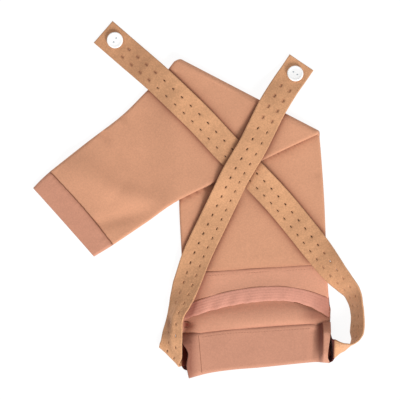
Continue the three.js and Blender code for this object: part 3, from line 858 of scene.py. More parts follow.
def strap_marks(length, near, far):
    """Row distances along the strap, each with whether the buttonholes are open after it."""
    holes = hole_places(RIGHT_HOLES, near, far)
    holes += sorted(length - at for at in hole_places(LEFT_HOLES, near, far))
    marks, at = [], 0.0
    for hole in holes + [None]:
        stop = length if hole is None else hole - HOLE_LENGTH / 2
        steps = max(1, round((stop - at) / MARK_GAP))
        marks += [(at + (stop - at) * k / steps, False) for k in range(steps)]
        if hole is not None:
            marks += [(stop + HOLE_LENGTH * k / HOLE_ROWS, True) for k in range(HOLE_ROWS)]
            at = hole + HOLE_LENGTH / 2
    return marks + [(length, False)]


def stitch(bm, middle, ahead, up, long, thick):
    """One stitch of thread, a small spindle laid along its seam."""
    side = up.cross(ahead).normalized()
    up = ahead.cross(side).normalized()
    turn = Matrix((ahead, side, up)).transposed().to_4x4()
    size = Matrix.Diagonal((long / 2, thick / 2, thick / 2, 1.0))
    bmesh.ops.create_uvsphere(
        bm, u_segments=6, v_segments=4, radius=1.0,
        matrix=Matrix.Translation(middle) @ turn @ size @ Matrix.Rotation(math.pi / 2, 4, "Y"),
    )


def stitch_row(bm, points, long, gap, thick):
    """Stitches along a line of points, as seen from above."""
    up = Vector((0, 0, 1))
    gone = running(points)
    count = max(1, int(gone[-1] / (long + gap)))
    k = 0
    for i in range(count):
        want = (i + 0.5) / count * gone[-1]
        while k < len(points) - 2 and gone[k + 1] < want:
            k += 1
        share = (want - gone[k]) / max(gone[k + 1] - gone[k], 1e-9)
        ahead = (points[k + 1] - points[k]).normalized()
        stitch(bm, points[k].lerp(points[k + 1], share), ahead, up, long, thick)


def node(tree, kind, **values):
    made = tree.nodes.new(kind)
    for name, value in values.items():
        setattr(made, name, value)
    return made


def wire(tree, target, values):
    """Links sockets to a node's inputs, or sets plain values there."""
    for label, value in values.items():
        if isinstance(value, bpy.types.NodeSocket):
            tree.links.new(value, target.inputs[label])
        else:
            target.inputs[label].default_value = value


def math_node(tree, operation, *values):
    made = node(tree, "ShaderNodeMath", operation=operation)
    wire(tree, made, dict(enumerate(values)))
    return made.outputs[0]


def plus(tree, a, b):
    return math_node(tree, "ADD", a, b)


def times(tree, a, b):
    return math_node(tree, "MULTIPLY", a, b)


def blend(tree, share, a, b):
    made = node(tree, "ShaderNodeMix", data_type="RGBA")
    wire(tree, made, {"Factor": share, "A": a, "B": b})
    return made.outputs["Result"]


def shader_group(name, vector, numbers, outputs):
    """A node group with one vector input, number inputs and number outputs."""
    group = bpy.data.node_groups.new(name, "ShaderNodeTree")
    group.interface.new_socket(name=vector, in_out="INPUT", socket_type="NodeSocketVector")
    for label, value in numbers.items():
        socket = group.interface.new_socket(name=label, in_out="INPUT", socket_type="NodeSocketFloat")
        socket.default_value = value
    for label in outputs:
        group.interface.new_socket(name=label, in_out="OUTPUT", socket_type="NodeSocketFloat")
    return group, group.nodes.new("NodeGroupInput"), group.nodes.new("NodeGroupOutput")


def thread_group():
    """Crossing threads: lengthwise ribs and crosswise rows, as height and shade."""
    numbers = {"Ribs": 900.0, "Rows": 900.0, "Rib Depth": 0.5, "Row Depth": 0.5}
    group, source, target = shader_group("crossing_threads", "Cloth", numbers, ("Height", "Shade"))
    given = source.outputs
    split = node(group, "ShaderNodeSeparateXYZ")
    wire(group, split, {0: given["Cloth"]})
    ribs = times(group, split.outputs["X"], given["Ribs"])
    rows = times(group, split.outputs["Y"], given["Rows"])
    rib = math_node(group, "SINE", times(group, ribs, 2 * math.pi))
    shift = times(group, rib, 0.9)
    row = math_node(group, "SINE", plus(group, times(group, rows, 2 * math.pi), shift))
    total = plus(group, times(group, rib, given["Rib Depth"]), times(group, row, given["Row Depth"]))
    height = plus(group, times(group, total, 0.5), 0.5)
    wire(group, target, {"Height": height, "Shade": math_node(group, "SUBTRACT", 1.0, height)})
    return group


def mottle_group():
    """Slow drifts of dye and fine fuzz over a cloth, as two masks."""
    numbers = {"Patches": 26.0, "Fuzz": 620.0}
    group, source, target = shader_group("dye_mottle", "Place", numbers, ("Drift", "Fuzz"))
    for scale, detail, mask in (("Patches", 3.0, "Drift"), ("Fuzz", 2.0, "Fuzz")):
        made = node(group, "ShaderNodeTexNoise")
        given = {"Vector": source.outputs["Place"], "Scale": source.outputs[scale], "Detail": detail}
        wire(group, made, given)
        wire(group, target, {mask: made.outputs["Fac"]})
    return group


def found_group(name, build):
    return bpy.data.node_groups.get(name) or build()


def found_material(name, build):
    return bpy.data.materials.get(name) or build()


def darker(colour, share):
    return tuple(c * share for c in colour)


def new_material(name):
    """A material, its tree, its shader and the shared mottle laid over the object."""
    material = bpy.data.materials.new(name)
    material.use_nodes = True
    tree = material.node_tree
    place = node(tree, "ShaderNodeTexCoord")
    mottle = node(tree, "ShaderNodeGroup", node_tree=found_group("dye_mottle", mottle_group))
    wire(tree, mottle, {"Place": place.outputs["Object"]})
    return material, tree, tree.nodes["Principled BSDF"], mottle


def clouded(tree, mottle, colour, share):
    return blend(tree, mottle.outputs["Drift"], (*colour, 1.0), (*darker(colour, share), 1.0))


def cloth_material(
    name, colour, deep, ribs, rows, rib_depth, row_depth, bump, sheen=0.15, rough=0.88, drift=0.9
):
    """Dyed cloth with its threads, fuzz and slow colour drift, darkened where painted shade is stored on the
    piece.
    """
    material, tree, shader, mottle = new_material(name)
    cloth = node(tree, "ShaderNodeUVMap", uv_map="cloth")
    threads = node(tree, "ShaderNodeGroup", node_tree=found_group("crossing_threads", thread_group))
    wire(tree, threads, {"Cloth": cloth.outputs["UV"], "Ribs": ribs, "Rows": rows})
    wire(tree, threads, {"Rib Depth": rib_depth, "Row Depth": row_depth})
    fuzz = mottle.outputs["Fuzz"]
    amount = plus(
        tree, times(tree, threads.outputs["Shade"], THREAD_SHADE), times(tree, mottle.outputs["Drift"], drift)
    )
    amount = plus(tree, amount, times(tree, fuzz, FUZZ_SHADE))
    share = math_node(tree, "SUBTRACT", amount, MEAN_SHADE + drift / 2)
    dyed = blend(tree, share, (*colour, 1.0), (*deep, 1.0))
    # Painted shade: the stored shade blends the dyed colour towards what is left of it where no light gets
    inside = node(tree, "ShaderNodeAttribute", attribute_name="inside")
    unlit = [left * c for left, c in zip(UNLIT, deep)]
    rise = node(tree, "ShaderNodeBump")
    height = plus(tree, threads.outputs["Height"], times(tree, fuzz, FUZZ_HEIGHT))
    wire(tree, rise, {"Strength": 0.6, "Distance": bump, "Height": height})
    wire(tree, shader, {"Base Color": blend(tree, inside.outputs["Fac"], dyed, (*unlit, 1.0))})
    wire(tree, shader, {"Normal": rise.outputs["Normal"], "Roughness": rough, "Specular IOR Level": 0.25})
    wire(tree, shader, {"Sheen Weight": sheen, "Sheen Roughness": 0.5})
    return material


def button_material(colour):
    """Moulded plastic, faintly clouded and polished, with a faint painted glow."""
    material, tree, shader, mottle = new_material("button_plastic")
    wire(tree, mottle, {"Patches": 160.0, "Fuzz": 1400.0})
    rough = plus(tree, times(tree, mottle.outputs["Fuzz"], 0.16), 0.22)
    wire(tree, shader, {"Base Color": clouded(tree, mottle, colour, 0.93), "Roughness": rough})
    # Painted light: a faint white glow keeps the buttons bright
    wire(tree, shader, {"Emission Color": WHITE, "Emission Strength": 0.04})
    return material


def floor_material(colour, glow):
    """Matt backdrop paper with a faint tooth."""
    material, tree, shader, mottle = new_material("backdrop_paper")
    wire(tree, mottle, {"Patches": 3.0})
    wire(tree, shader, {"Base Color": clouded(tree, mottle, colour, 0.985), "Roughness": 0.95})
    wire(tree, shader, {"Specular IOR Level": 0.1, "Emission Color": WHITE, "Emission Strength": glow})
    return material


# Cloths: the setting of the colour, how much of it is left in the deeper dye, ribs and rows to a metre, the
# depth of both, the height of the threads, and sheen, roughness and drift where they aren't the usual ones
CLOTHS = {
    "sleeve_knit": ("knit_colour", 0.86, 1100, 900, 0.5, 0.35, 0.0002),
    "cuff_rib": ("cuff_colour", 0.86, 800, 1300, 0.7, 0.2, 0.00025),
    "band_knit": ("band_colour", 0.86, 1300, 1300, 0.45, 0.3, 0.00018),
    "casing_knit": ("casing_colour", 0.86, 1300, 1300, 0.45, 0.3, 0.00018),
    # Painted shade: a dark brown for the casing's inner wall, standing in for the shade inside it
    "casing_lining": ("lining_colour", 0.86, 1300, 1300, 0.45, 0.3, 0.00018, 0.0),
    "hem_rib": ("hem_colour", 0.86, 1200, 1200, 0.5, 0.3, 0.0002),
    "strap_webbing": ("webbing_colour", 0.74, 800, 1100, 0.55, 0.4, 0.00028, 0.1, 0.8, 1.9),
    "seam_stitching": ("thread_colour", 0.86, 2500, 2500, 0.5, 0.2, 0.0001),
    "seam_lines": ("seam_colour", 0.86, 2500, 2500, 0.5, 0.2, 0.0001),
}


def cloth_of(settings, name):
    """The material of a named cloth, in the colour set for it."""
    key, share, *threads = CLOTHS[name]
    colour = getattr(settings, key)
    return found_material(name, lambda: cloth_material(name, colour, darker(colour, share), *threads))


def number_setting(label, about, default, low, high, unit="LENGTH"):
    return FloatProperty(name=label, description=about, default=default, min=low, max=high, unit=unit)


def colour_setting(label, about, default):
    return FloatVectorProperty(
        name=label, description=about, subtype="COLOR", size=3, default=default, min=0, max=1
    )


class ArmSleeveCloth(bpy.types.PropertyGroup):
    """Sizes and colours of the cloth pieces."""

    wall: number_setting("Wall", "Thickness of the knit", 0.0012, 0.0005, 0.003)
    flat: number_setting("Pressed height", "Height of the pressed tube", FLAT * MM, 0.003, 0.01)
    hem: number_setting("Hem", "Thickness of the ribbed hem", 0.0018, 0.0008, 0.003)
    knit_colour: colour_setting("Knit", "Colour of the sleeve", (0.66, 0.322, 0.190))
    cuff_colour: colour_setting("Cuff", "Colour of the wrist cuff", (0.60, 0.280, 0.183))
    casing_colour: colour_setting("Casing", "Colour of the strap casing", (0.575, 0.272, 0.178))
    # Painted shade: a dark brown for the casing's inner wall and its mouths
    lining_colour: colour_setting("Lining", "Colour inside the strap casing", (0.16, 0.036, 0.030))
    band_colour: colour_setting("Top band", "Colour of the top band", (0.72, 0.344, 0.221))
    hem_colour: colour_setting("Hem", "Colour of the ribbed hem", (0.71, 0.325, 0.236))
    thread_colour: colour_setting("Thread", "Colour of the seam thread", (0.37, 0.155, 0.094))
    # Also the colour of the dark lines of painted shade under the hem and in the gathers
    seam_colour: colour_setting("Seam", "Colour of the seam lines", (0.26, 0.098, 0.046))


class ArmSleeveStrap(bpy.types.PropertyGroup):
    """Sizes and colours of the strap and its buttons."""

    width: number_setting("Width", "Width of the elastic", 0.030, 0.015, 0.05)
    thick: number_setting("Thickness", "Thickness of the elastic", 0.0015, 0.0008, 0.003)
    pitch: number_setting("Hole pitch", "Distance between buttonholes near the buttons", 0.0126, 0.008, 0.025)
    tight_pitch: number_setting("Tight pitch", "Distance between further buttonholes", 0.0109, 0.008, 0.025)
    webbing_colour: colour_setting("Elastic", "Colour of the strap", (0.715, 0.368, 0.190))
    button_radius: number_setting("Button radius", "Radius of the buttons", 0.0085, 0.004, 0.015)
    button_colour: colour_setting("Button", "Colour of the buttons", (0.98, 0.975, 0.965))
    button_segments: IntProperty(
        name="Button steps", description="Steps round a button", default=56, min=16, max=128
    )


class ArmSleeveStage(bpy.types.PropertyGroup):
    """Floor, light and camera."""

    floor_colour: colour_setting("Floor", "Colour of the backdrop paper", (0.14, 0.14, 0.14))
    glow: number_setting("Floor glow", "Light from under the paper, which keeps it white", 0.9, 0, 2, "NONE")
    key: number_setting("Key", "Power of the main light in watts", 154.0, 0, 900, "NONE")
    sky: number_setting("Sky", "Strength of the light from all round", 0.46, 0, 5, "NONE")
    distance: number_setting("Camera height", "Height of the camera over the sleeve", 2.2, 0.6, 6)
    view_width: number_setting("View width", "Width of the view at the cloth", 0.418, 0.1, 2)


class ArmSleeveSettings(bpy.types.PropertyGroup):
    """All settings of the arm sleeve."""

    cloth: PointerProperty(type=ArmSleeveCloth)
    strap: PointerProperty(type=ArmSleeveStrap)
    stage: PointerProperty(type=ArmSleeveStage)


class ARMSLEEVE_OT_sleeve(bpy.types.Operator):
    """Knit tube, pressed flat and folded over once at the elbow"""

    bl_idname = "armsleeve.sleeve"
    bl_label = "Sleeve"

    def execute(self, context):
        cloth = context.scene.arm_sleeve.cloth
        rows = sleeve_rows()
        flat = cloth.flat / MM
        run = heading(rows[-9], rows[-1])
        ends, backs = row_distances(rows, 0), row_distances(rows, -1)
        highs = [flat * (1 - dip(SHOULDER_DIP, s) - dip(SLEEVE_DIP, e)) for s, e in zip(ends, backs)]

        def place(p, z, j, share):
            p = p + run * (-WRIST_BOW * hump(share) * bell(backs[j] / WRIST_REACH))
            return arm_relief(on_arm(p, z), ELBOW.past(p), z, highs[j])

        piece = pressed_tube("sleeve_knit_tube", rows, highs, place, AROUND["sleeve"])
        give_wall(piece, cloth.wall)
        dress(piece, cloth_of(cloth, "sleeve_knit"))
        under = whole_strap_shade(context)

        # Painted shade: the strap's shadow, and darkening along the band seam, under the forearm's lower edge
        # and along the wrist seam
        def shade(spot):
            if spot.z < 3:
                return 0.0
            edge = edge_shade(spot) if spot.z < 7.5 else wrist_shade(spot)
            return max(under(spot), band_seam_shade(spot), edge)

        shade_by_place(piece, shade)
        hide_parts("sleeve")
        return {"FINISHED"}


class ARMSLEEVE_OT_cuff(bpy.types.Operator):
    """Finer rib-knit ring at the wrist"""

    bl_idname = "armsleeve.cuff"
    bl_label = "Wrist cuff"

    def execute(self, context):
        cloth = context.scene.arm_sleeve.cloth
        rows = between([(ELBOW.unfold(a), ELBOW.unfold(b)) for a, b in CUFF], STEPS["cuff"])
        flat = cloth.flat / MM
        run = heading(rows[0], rows[-1])
        starts = row_distances(rows, 0)
        rims = [0.1 * ease((s - starts[-1] + 4) / 4) for s in starts]
        highs = [flat * (1 - dip(CUFF_DIP, s) - rim) for s, rim in zip(starts, rims)]

        def place(p, z, j, share):
            bow = -WRIST_BOW * hump(share) * bell(starts[j] / WRIST_REACH)
            tuck = -0.9 * bell(starts[j] / 2.5)
            spot = on_arm(p + run * (bow + tuck), z)
            plan = pair(spot)
            gather = waver(Vector((share * 60, starts[j] / 6)), 1.6, 0.5, 9.0) * math.exp(-starts[j] / 6)
            uneven = waver(plan, 22.0, 0.6, 1.0) + waver(plan, 6.0, 0.16, 2.0)
            spot.z += (uneven + gather) * ease(-z / highs[j] * 2)
            return spot

        piece = pressed_tube("wrist_cuff_rib", rows, highs, place, AROUND["cuff"])
        give_wall(piece, cloth.wall)
        dress(piece, cloth_of(cloth, "cuff_rib"))
        # Painted shade along the wrist seam
        shade_by_place(piece, wrist_shade)
        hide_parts("wrist_cuff")
        return {"FINISHED"}


class ARMSLEEVE_OT_band(bpy.types.Operator):
    """Top band with its arched front, and the ribbed hem along the arch"""

    bl_idname = "armsleeve.band"
    bl_label = "Top band and hem"

    def execute(self, context):
        cloth = context.scene.arm_sleeve.cloth
        flat = cloth.flat / MM
        steps = STEPS["band"]
        rows = [(pair(BAND_SEAM[0]), pair(BAND_SEAM[1]))] * (steps + 1)
        outs = [i / steps for i in range(steps + 1)]
        highs = [flat * (1 - dip(SHOULDER_DIP, o * BAND_LONG)) for o in outs]

        def place(p, z, j, share):
            spot = on_band(p, z + flat / 2, outs[j], share)
            spot.y += 0.9 * bell(outs[j] * BAND_LONG / 2.5)
            plan = pair(spot)
            spot.z += waver(plan, 24.0, 0.5, 6.0) * ease(z / highs[j] * 2) * ease(outs[j] * 4)
            spot.z += relief(plan, GATHERS) * (1 - ease((z / flat + 0.2) / 0.4))
            spot.z = max(spot.z, 0.0)
            return spot

        band = pressed_tube("top_band_knit", rows, highs, place, AROUND["band"])
        give_wall(band, cloth.wall).modifiers["wall"].use_even_offset = False
        dress(band, cloth_of(cloth, "band_knit"))
        under = whole_strap_shade(context)

        # Painted shade: along both seams, the strap's shadow, and the shade under the hem and in the gathers
        def shade(spot):
            seam = max(band_seam_shade(spot), casing_seam_shade(spot))
            return max(self.shade(spot), seam, under(spot) if spot.z > 2 else 0.0)

        shade_by_place(band, shade)
        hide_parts("top_band")
        hem = self.hem_strip(cloth)
        dress(hem, cloth_of(cloth, "hem_rib"))
        # Painted shade towards the hem's right end and in the strap's shadow
        shade_by_place(hem, lambda spot: max(DEPTHS["hem"] * ramp(spot.x, 112, 22), under(spot)))
        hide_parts("hem_band")
        return {"FINISHED"}

    def shade(self, spot):
        """Shade on the back wall under the hem's right end and in the gathers at its left end."""
        under = ramp(spot.x, 100, 24) * ramp(-spot.y, 105, 8) * (1 - 0.5 * ramp(-spot.y, 121, 6))
        gathers = (1 - ramp(spot.x, -13, 8)) * ramp(-spot.y, 121, 5)
        return max(DEPTHS["under"] * under + DEPTHS["gathers"] * gathers, blot(spot, KNOT))

    def hem_strip(self, cloth):
        columns, rows = HEM_GRID
        bm = cloth_grid(columns, rows, spread(0.0, HEM_CLOTH[0], columns), spread(0.0, HEM_CLOTH[1], rows))
        for vert in bm.verts:
            i, j = grid_place(vert, columns, rows)
            share, across = j / rows, i / columns
            spot = hem_point(share, across)
            spot.z += 0.055 * math.cos(2 * math.pi * 6 * across)
            tips = 3.0 * clamp((abs(share - 0.5) - 0.475) / 0.025) ** 2
            spot.z -= 0.5 * ramp(across, 0.92, 0.08) + tips
            vert.co = spot * MM
        bmesh.ops.recalc_face_normals(bm, faces=bm.faces)
        if sum(face.normal.z for face in bm.faces) < 0:
            bmesh.ops.reverse_faces(bm, faces=bm.faces)
        return give_wall(finished("hem_ribbed", bm), cloth.hem)


class ARMSLEEVE_OT_casing(bpy.types.Operator):
    """Flattened tunnel that the strap runs through"""

    bl_idname = "armsleeve.casing"
    bl_label = "Strap casing"

    def execute(self, context):
        cloth = context.scene.arm_sleeve.cloth
        steps = STEPS["casing"]
        full = [casing_row(i / steps) for i in range(steps + 1)]
        rows = [(r[0], r[1]) for r in full]
        highs = [r[2] for r in full]

        def place(p, z, j, share):
            return on_casing(p, z + highs[j] / 2, full[j], share)

        piece = pressed_tube("strap_casing_knit", rows, highs, place, AROUND["casing"])
        # The inner wall gets the dark brown of painted shade inside the casing and its mouths
        give_wall(piece, cloth.wall).modifiers["wall"].material_offset = 1
        dress(piece, cloth_of(cloth, "casing_knit"))
        piece.data.materials.append(cloth_of(cloth, "casing_lining"))
        shade_by_place(piece, self.shade)
        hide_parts("strap_casing")
        return {"FINISHED"}

    def shade(self, spot):
        """Shade in the crease beside the flared end, and at the left mouth."""
        crease = ramp(spot.x, 119.5, 8) * (1 - ramp(spot.x, 129.0, 1.8))
        mouth = 1 - ramp(spot.x, -12, 14)
        shade = DEPTHS["crease"] * crease * mix(0.35, 1.0, ramp(spot.y, -170, 30)) + DEPTHS["mouth"] * mouth
        # A dark line of painted shade along the fold of the casing's left facing
        facing = DEPTHS["facing"] * bell((spot.x + 8.2) / 1.7) * ramp(spot.y, -184, 8)
        return max(shade, facing, casing_seam_shade(spot))


class ARMSLEEVE_OT_strap(bpy.types.Operator):
    """Woven buttonhole elastic, threaded through the casing"""

    bl_idname = "armsleeve.strap"
    bl_label = "Strap"

    def execute(self, context):
        cloth = context.scene.arm_sleeve.strap
        width = cloth.width / MM
        path = StrapPath(width)
        marks = strap_marks(path.length, cloth.pitch / MM, cloth.tight_pitch / MM)
        rows = len(marks) - 1
        frames = [path.at(at) for at, _ in marks]
        across = spread(0.0, cloth.width, STRAP_COLUMNS)
        bm = cloth_grid(STRAP_COLUMNS, rows, across, [at * MM for at, _ in marks])
        opened = []
        for face in bm.faces:
            places = [grid_place(vert, STRAP_COLUMNS, rows) for vert in face.verts]
            column, row = min(p[0] for p in places), min(p[1] for p in places)
            if marks[row][1] and column in HOLE_COLUMNS:
                opened.append(face)
        inside = bm.verts.layers.float.new("inside")
        middle = path.length / 2
        # Painted shadow of the strap's second half where it crosses over the first
        crossing = strap_shade(path, width, middle)
        for vert in bm.verts:
            i, j = grid_place(vert, STRAP_COLUMNS, rows)
            at = marks[j][0]
            spot = self.spot(path, marks, frames, i, j, width)
            # Painted shade: inside the casing, round the buttonholes, towards the upper left end, at the
            # crossing and in the pinched crease
            shade = max(self.inside(spot), self.hole_rim_shade(path, marks, i, j))
            if at < middle and spot.y > -90:
                shade = max(shade, END_SHADE * (1 - ramp(at, 45, 45)), crossing(spot))
            elif at > middle:
                shade = max(shade, blot(spot, NOTCH))
            vert[inside] = shade
            vert.co = spot * MM
        bmesh.ops.delete(bm, geom=opened, context="FACES")
        bmesh.ops.recalc_face_normals(bm, faces=bm.faces)
        piece = give_wall(finished("strap_webbing", bm), cloth.thick, 0.0)
        dress(piece, cloth_of(cloth, "strap_webbing"))
        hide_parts("strap")
        return {"FINISHED"}

    def inside(self, spot):
        """How far a point of the strap is inside the casing, where no light gets, stored as painted shade."""
        if spot.y > -138:
            return 0.0
        if spot.x > 100:
            return ease((142.2 - spot.x) / 1.4)
        return ramp(spot.x, -18.6, 1.6) * (1 - ramp(spot.z, 3.4, 1.4))

    def hole_rim_shade(self, path, marks, i, j):
        """Painted shade round the buttonholes, strongest round the closed ones near the ends."""
        if not (marks[j][1] or marks[j - 1][1]) or not any(i in (c, c + 1) for c in HOLE_COLUMNS):
            return 0.0
        return END_HOLE_SHADE if min(marks[j][0], path.length - marks[j][0]) < END_HOLES else HOLE_SHADE

    def spot(self, path, marks, frames, i, j, width):
        """A point of the strap: slits drawn to a point, selvedges rolled, the web slightly slack."""
        middle, half, _, face = frames[j]
        at = marks[j][0]
        across = width * (i / STRAP_COLUMNS - 0.5)
        before, after = j > 0 and marks[j - 1][1], marks[j][1]
        for column, gape in HOLE_COLUMNS.items():
            if (before or after) and i in (column, column + 1):
                centre = width * ((column + 0.5) / STRAP_COLUMNS - 0.5)
                gape *= 1.0 if before and after else SLIT_TAPER
                gape *= SLIT_SHUT if min(at, path.length - at) < END_HOLES else 1.0
                across = centre + (gape if i > column else -gape)
        side = across / (width / 2)
        free = path.length - at
        slack = SLACK
        for high, long, change, seed in SLACK_WAVES:
            slack += high * noise.noise(Vector((at / long, side * change, seed)))
        slack *= ease(at / 30) * ease(free / 30)
        rise = slack + SELVEDGE * ramp(abs(side), 0.86, 0.14)
        spot = middle + half * side
        crease = ramp(middle.y, -158, 16) * (1 - ramp(middle.y, -114, 26)) * ease(-middle.x / 12)
        ridge = 1 - abs(side - 0.15) / (0.85 if side > 0.15 else 1.15)
        rise += crease * STRAP_CREASE * max(0.0, ridge) ** 1.3
        return spot + face * rise


class ARMSLEEVE_OT_buttons(bpy.types.Operator):
    """Two-hole buttons near the strap's ends, sewn on with thread"""

    bl_idname = "armsleeve.buttons"
    bl_label = "Buttons"

    def execute(self, context):
        strap = context.scene.arm_sleeve.strap
        path = StrapPath(strap.width / MM)
        plastic = found_material("button_plastic", lambda: button_material(strap.button_colour))
        thread = found_material(
            "button_thread",
            lambda: cloth_material(
                "button_thread", (0.56, 0.63, 0.68), (0.44, 0.5, 0.55), 3000, 3000, 0.5, 0.3, 0.0001
            ),
        )
        for name, at, aside, turn in (
            ("button_left", LEFT_BUTTON[0], *LEFT_BUTTON[1:]),
            ("button_right", path.length - RIGHT_BUTTON[0], *RIGHT_BUTTON[1:]),
        ):
            middle, _, ahead, face = path.at(at)
            side = face.cross(ahead).normalized()
            turned = Matrix((ahead, side, face)).transposed().to_4x4()
            lift = strap.thick / MM / 2 + BUTTON_LIFT
            seat = Matrix.Translation((middle - side * aside + face * lift) * MM)
            place = seat @ turned @ Matrix.Rotation(math.radians(turn), 4, "Z")
            disc = self.disc(name + "_disc", strap, place)
            dress(disc, plastic)
            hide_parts(name)
            dress(self.loops(name + "_thread", place), thread)
        return {"FINISHED"}

    def disc(self, name, strap, place):
        radius = strap.button_radius / MM
        outline = [(radius - inset, z) for inset, z in BUTTON_PROFILE]
        outline = [(0.0, outline[0][1]), *outline, (0.0, outline[-1][1])]
        bm = bmesh.new()
        rim = [bm.verts.new((r * MM, 0, z * MM)) for r, z in outline]
        edges = [bm.edges.new(two) for two in zip(rim, rim[1:])]
        bmesh.ops.spin(
            bm, geom=rim + edges, cent=(0, 0, 0), axis=(0, 0, 1), angle=2 * math.pi,
            steps=strap.button_segments, use_merge=True,
        )
        bmesh.ops.remove_doubles(bm, verts=bm.verts, dist=1e-6)
        bmesh.ops.recalc_face_normals(bm, faces=bm.faces)
        disc = finished(name, bm)
        wide = BUTTON_HOLE["radius"] * MM
        for side in (-1, 1):
            pin = bmesh.new()
            bmesh.ops.create_cone(
                pin, cap_ends=True, segments=20, radius1=wide, radius2=wide, depth=BUTTON_HOLE["drill"] * MM,
                matrix=Matrix.Translation((0, side * BUTTON_HOLE["aside"] * MM, 0)),
            )
            cutter = finished("pin", pin)
            cut = disc.modifiers.new("hole", "BOOLEAN")
            cut.operation = "DIFFERENCE"
            cut.object = cutter
            drilled = disc.evaluated_get(bpy.context.evaluated_depsgraph_get())
            shaped = bpy.data.meshes.new_from_object(drilled)
            disc.modifiers.clear()
            disc.data = shaped
            bpy.data.objects.remove(cutter)
        disc.data.transform(place)
        disc.data.set_sharp_from_angle(angle=math.radians(40))
        return disc

    def loops(self, name, place):
        """Thread that fills both holes of the button to just under its face."""
        bm = bmesh.new()
        for side in (-1, 1):
            bmesh.ops.create_uvsphere(
                bm, u_segments=16, v_segments=8, radius=BUTTON_THREAD["radius"] * MM,
                matrix=Matrix.Translation((0, side * BUTTON_HOLE["aside"] * MM, BUTTON_THREAD["high"] * MM)),
            )
        bm.transform(place)
        return finished(name, bm)


class ARMSLEEVE_OT_stitching(bpy.types.Operator):
    """Rows of stitches along the seams and hems, and dark lines of painted shade"""

    bl_idname = "armsleeve.stitching"
    bl_label = "Stitching"

    def execute(self, context):
        cloth = context.scene.arm_sleeve.cloth
        flat = cloth.flat / MM
        for name, kind, lines in (
            ("seam_stitching", TOP_STITCH, self.stitches(flat)),
            ("seam_lines", SEAM_STITCH, self.seams(flat)),
        ):
            bm = bmesh.new()
            bm.loops.layers.uv.new("cloth")
            for line, thick in lines:
                stitch_row(bm, line, kind["long"], kind["gap"], thick)
            bmesh.ops.scale(bm, vec=(MM, MM, MM), verts=bm.verts)
            dress(finished(name, bm), cloth_of(cloth, name))
        return {"FINISHED"}

    def on_seam(self, share):
        return pair(BAND_SEAM[0]).lerp(pair(BAND_SEAM[1]), share)

    def seams(self, flat):
        """Lines where two pieces meet, and dark lines of painted shade under the hem and in the gathers, each
        with the thickness of its close row of overlapping stitches.
        """
        shares = spread(0.015, 0.97, 80)
        cuff = [(ELBOW.unfold(a), ELBOW.unfold(b)) for a, b in CUFF]
        run = heading(cuff[0], cuff[-1])
        wrist = []
        for s in shares:
            wiggle = waver(Vector((s * 90, 0.0)), 4.0, 0.5, 3.0)
            spot = cuff[0][0].lerp(cuff[0][1], s) + run * (wiggle - 0.3 - WRIST_BOW * hump(s))
            wrist.append(on_arm(spot, -0.4 * flat))
        front = [on_band(self.on_seam(s) + Vector((0, 0.3)), 0.9 * flat, 0.0, s) for s in shares]
        arched = [on_band(self.on_seam(s), flat - 0.1, 1.0, s) for s in shares]
        back = [on_band(self.on_seam(s), 0.0, 1.0, s) + Vector((0, -0.2, 0.6)) for s in shares]
        row = casing_row(0.079)
        hem = [on_casing(row[0].lerp(row[1], s), row[2], row, s) for s in spread(0.06, 0.84, 30)]
        # A dark line under the hem's free edge towards its right end: a painted shadow drawn with the seam
        # lines
        under = [hem_point(s, 1.0) + Vector((0, -0.5, -1.6)) for s in spread(0.76, 0.21, 24)]
        # Dark lines along the tucks in the gathers: painted shade in their creases
        tucks = [("tuck", [Vector((x, y, TUCK_HEIGHT)) for x, y in line]) for line in TUCKS]
        lines = [("under", under), *tucks, ("wrist", wrist), ("front", front), ("arched", arched)]
        lines += [("back", back), ("hem", hem)]
        return [(line, SEAM_THICK[name]) for name, line in lines]

    def stitches(self, flat):
        """Rows of visible stitches beside the seams and along the casing's hems, with their thickness."""
        beside = Vector((0, 3.6))
        band = [on_band(self.on_seam(s) - beside, flat + 0.05, 0.0, s) for s in spread(0.03, 0.94, 60)]
        casing = []
        for along in spread(0.09, 0.48, 80):
            row = casing_row(along)
            share = 1 - (row[2] / 2 + 2.4) / (row[1] - row[0]).length
            casing.append(on_casing(row[0].lerp(row[1], share), row[2] + 0.05, row, share))
        return [(line, TOP_STITCH["thick"]) for line in (band, casing)]


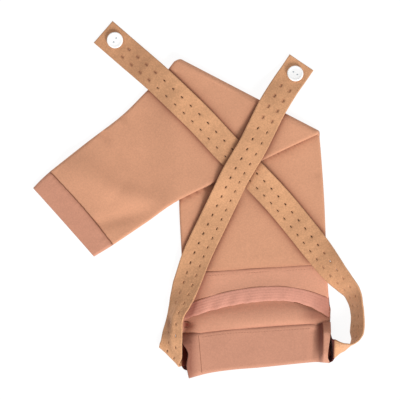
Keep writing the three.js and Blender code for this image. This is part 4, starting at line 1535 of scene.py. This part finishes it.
class ARMSLEEVE_OT_stage(bpy.types.Operator):
    """Pale backdrop paper, soft light and the camera straight above"""

    bl_idname = "armsleeve.stage"
    bl_label = "Stage"

    def execute(self, context):
        stage = context.scene.arm_sleeve.stage
        scene = context.scene
        bm = bmesh.new()
        bmesh.ops.create_grid(bm, x_segments=2, y_segments=2, size=4.0)
        floor = finished("backdrop", bm)
        floor.data.materials.append(floor_material(stage.floor_colour, stage.glow))
        world = bpy.data.worlds.new("studio")
        world.use_nodes = True
        wire(world.node_tree, world.node_tree.nodes["Background"], {"Color": WHITE, "Strength": stage.sky})
        scene.world = world
        for name, (spot, size, share) in LAMPS.items():
            data = bpy.data.lights.new(name, "AREA")
            data.energy = stage.key * share
            data.size = size
            lamp = bpy.data.objects.new(name, data)
            lamp.location = spot
            lamp.rotation_euler = (Vector((0, 0, 0)) - Vector(spot)).to_track_quat("-Z", "Y").to_euler()
            scene.collection.objects.link(lamp)
        data = bpy.data.cameras.new("camera")
        data.sensor_width = SENSOR
        data.lens = SENSOR * stage.distance / stage.view_width
        data.clip_end = 20.0
        camera = bpy.data.objects.new("camera", data)
        camera.location = (CAMERA_ASIDE, 0.0, stage.distance + CLOTH_HEIGHT)
        scene.collection.objects.link(camera)
        scene.camera = camera
        scene.view_settings.view_transform = "Standard"
        return {"FINISHED"}


class ARMSLEEVE_PT_panel(bpy.types.Panel):
    """Arm sleeve pieces"""

    bl_idname = "ARMSLEEVE_PT_panel"
    bl_label = "Arm Sleeve"
    bl_space_type = "VIEW_3D"
    bl_region_type = "UI"
    bl_category = "Arm Sleeve"

    def draw(self, context):
        layout = self.layout
        settings = context.scene.arm_sleeve
        for part in (settings.cloth, settings.strap, settings.stage):
            box = layout.box()
            for name in part.__annotations__:
                box.prop(part, name)
        for operator in OPERATORS:
            layout.operator(operator.bl_idname)


OPERATORS = (
    ARMSLEEVE_OT_stage,
    ARMSLEEVE_OT_sleeve,
    ARMSLEEVE_OT_cuff,
    ARMSLEEVE_OT_band,
    ARMSLEEVE_OT_casing,
    ARMSLEEVE_OT_strap,
    ARMSLEEVE_OT_buttons,
    ARMSLEEVE_OT_stitching,
)
CLASSES = (ArmSleeveCloth, ArmSleeveStrap, ArmSleeveStage, ArmSleeveSettings, *OPERATORS, ARMSLEEVE_PT_panel)


def register():
    for made in CLASSES:
        bpy.utils.register_class(made)
    bpy.types.Scene.arm_sleeve = PointerProperty(type=ArmSleeveSettings)


def unregister():
    del bpy.types.Scene.arm_sleeve
    for made in reversed(CLASSES):
        bpy.utils.unregister_class(made)


def main():
    register()
    bpy.ops.armsleeve.stage()
    bpy.ops.armsleeve.sleeve()
    bpy.ops.armsleeve.cuff()
    bpy.ops.armsleeve.band()
    bpy.ops.armsleeve.casing()
    bpy.ops.armsleeve.strap()
    bpy.ops.armsleeve.buttons()
    bpy.ops.armsleeve.stitching()
    bpy.context.view_layer.update()


if __name__ == "__main__":
    main()
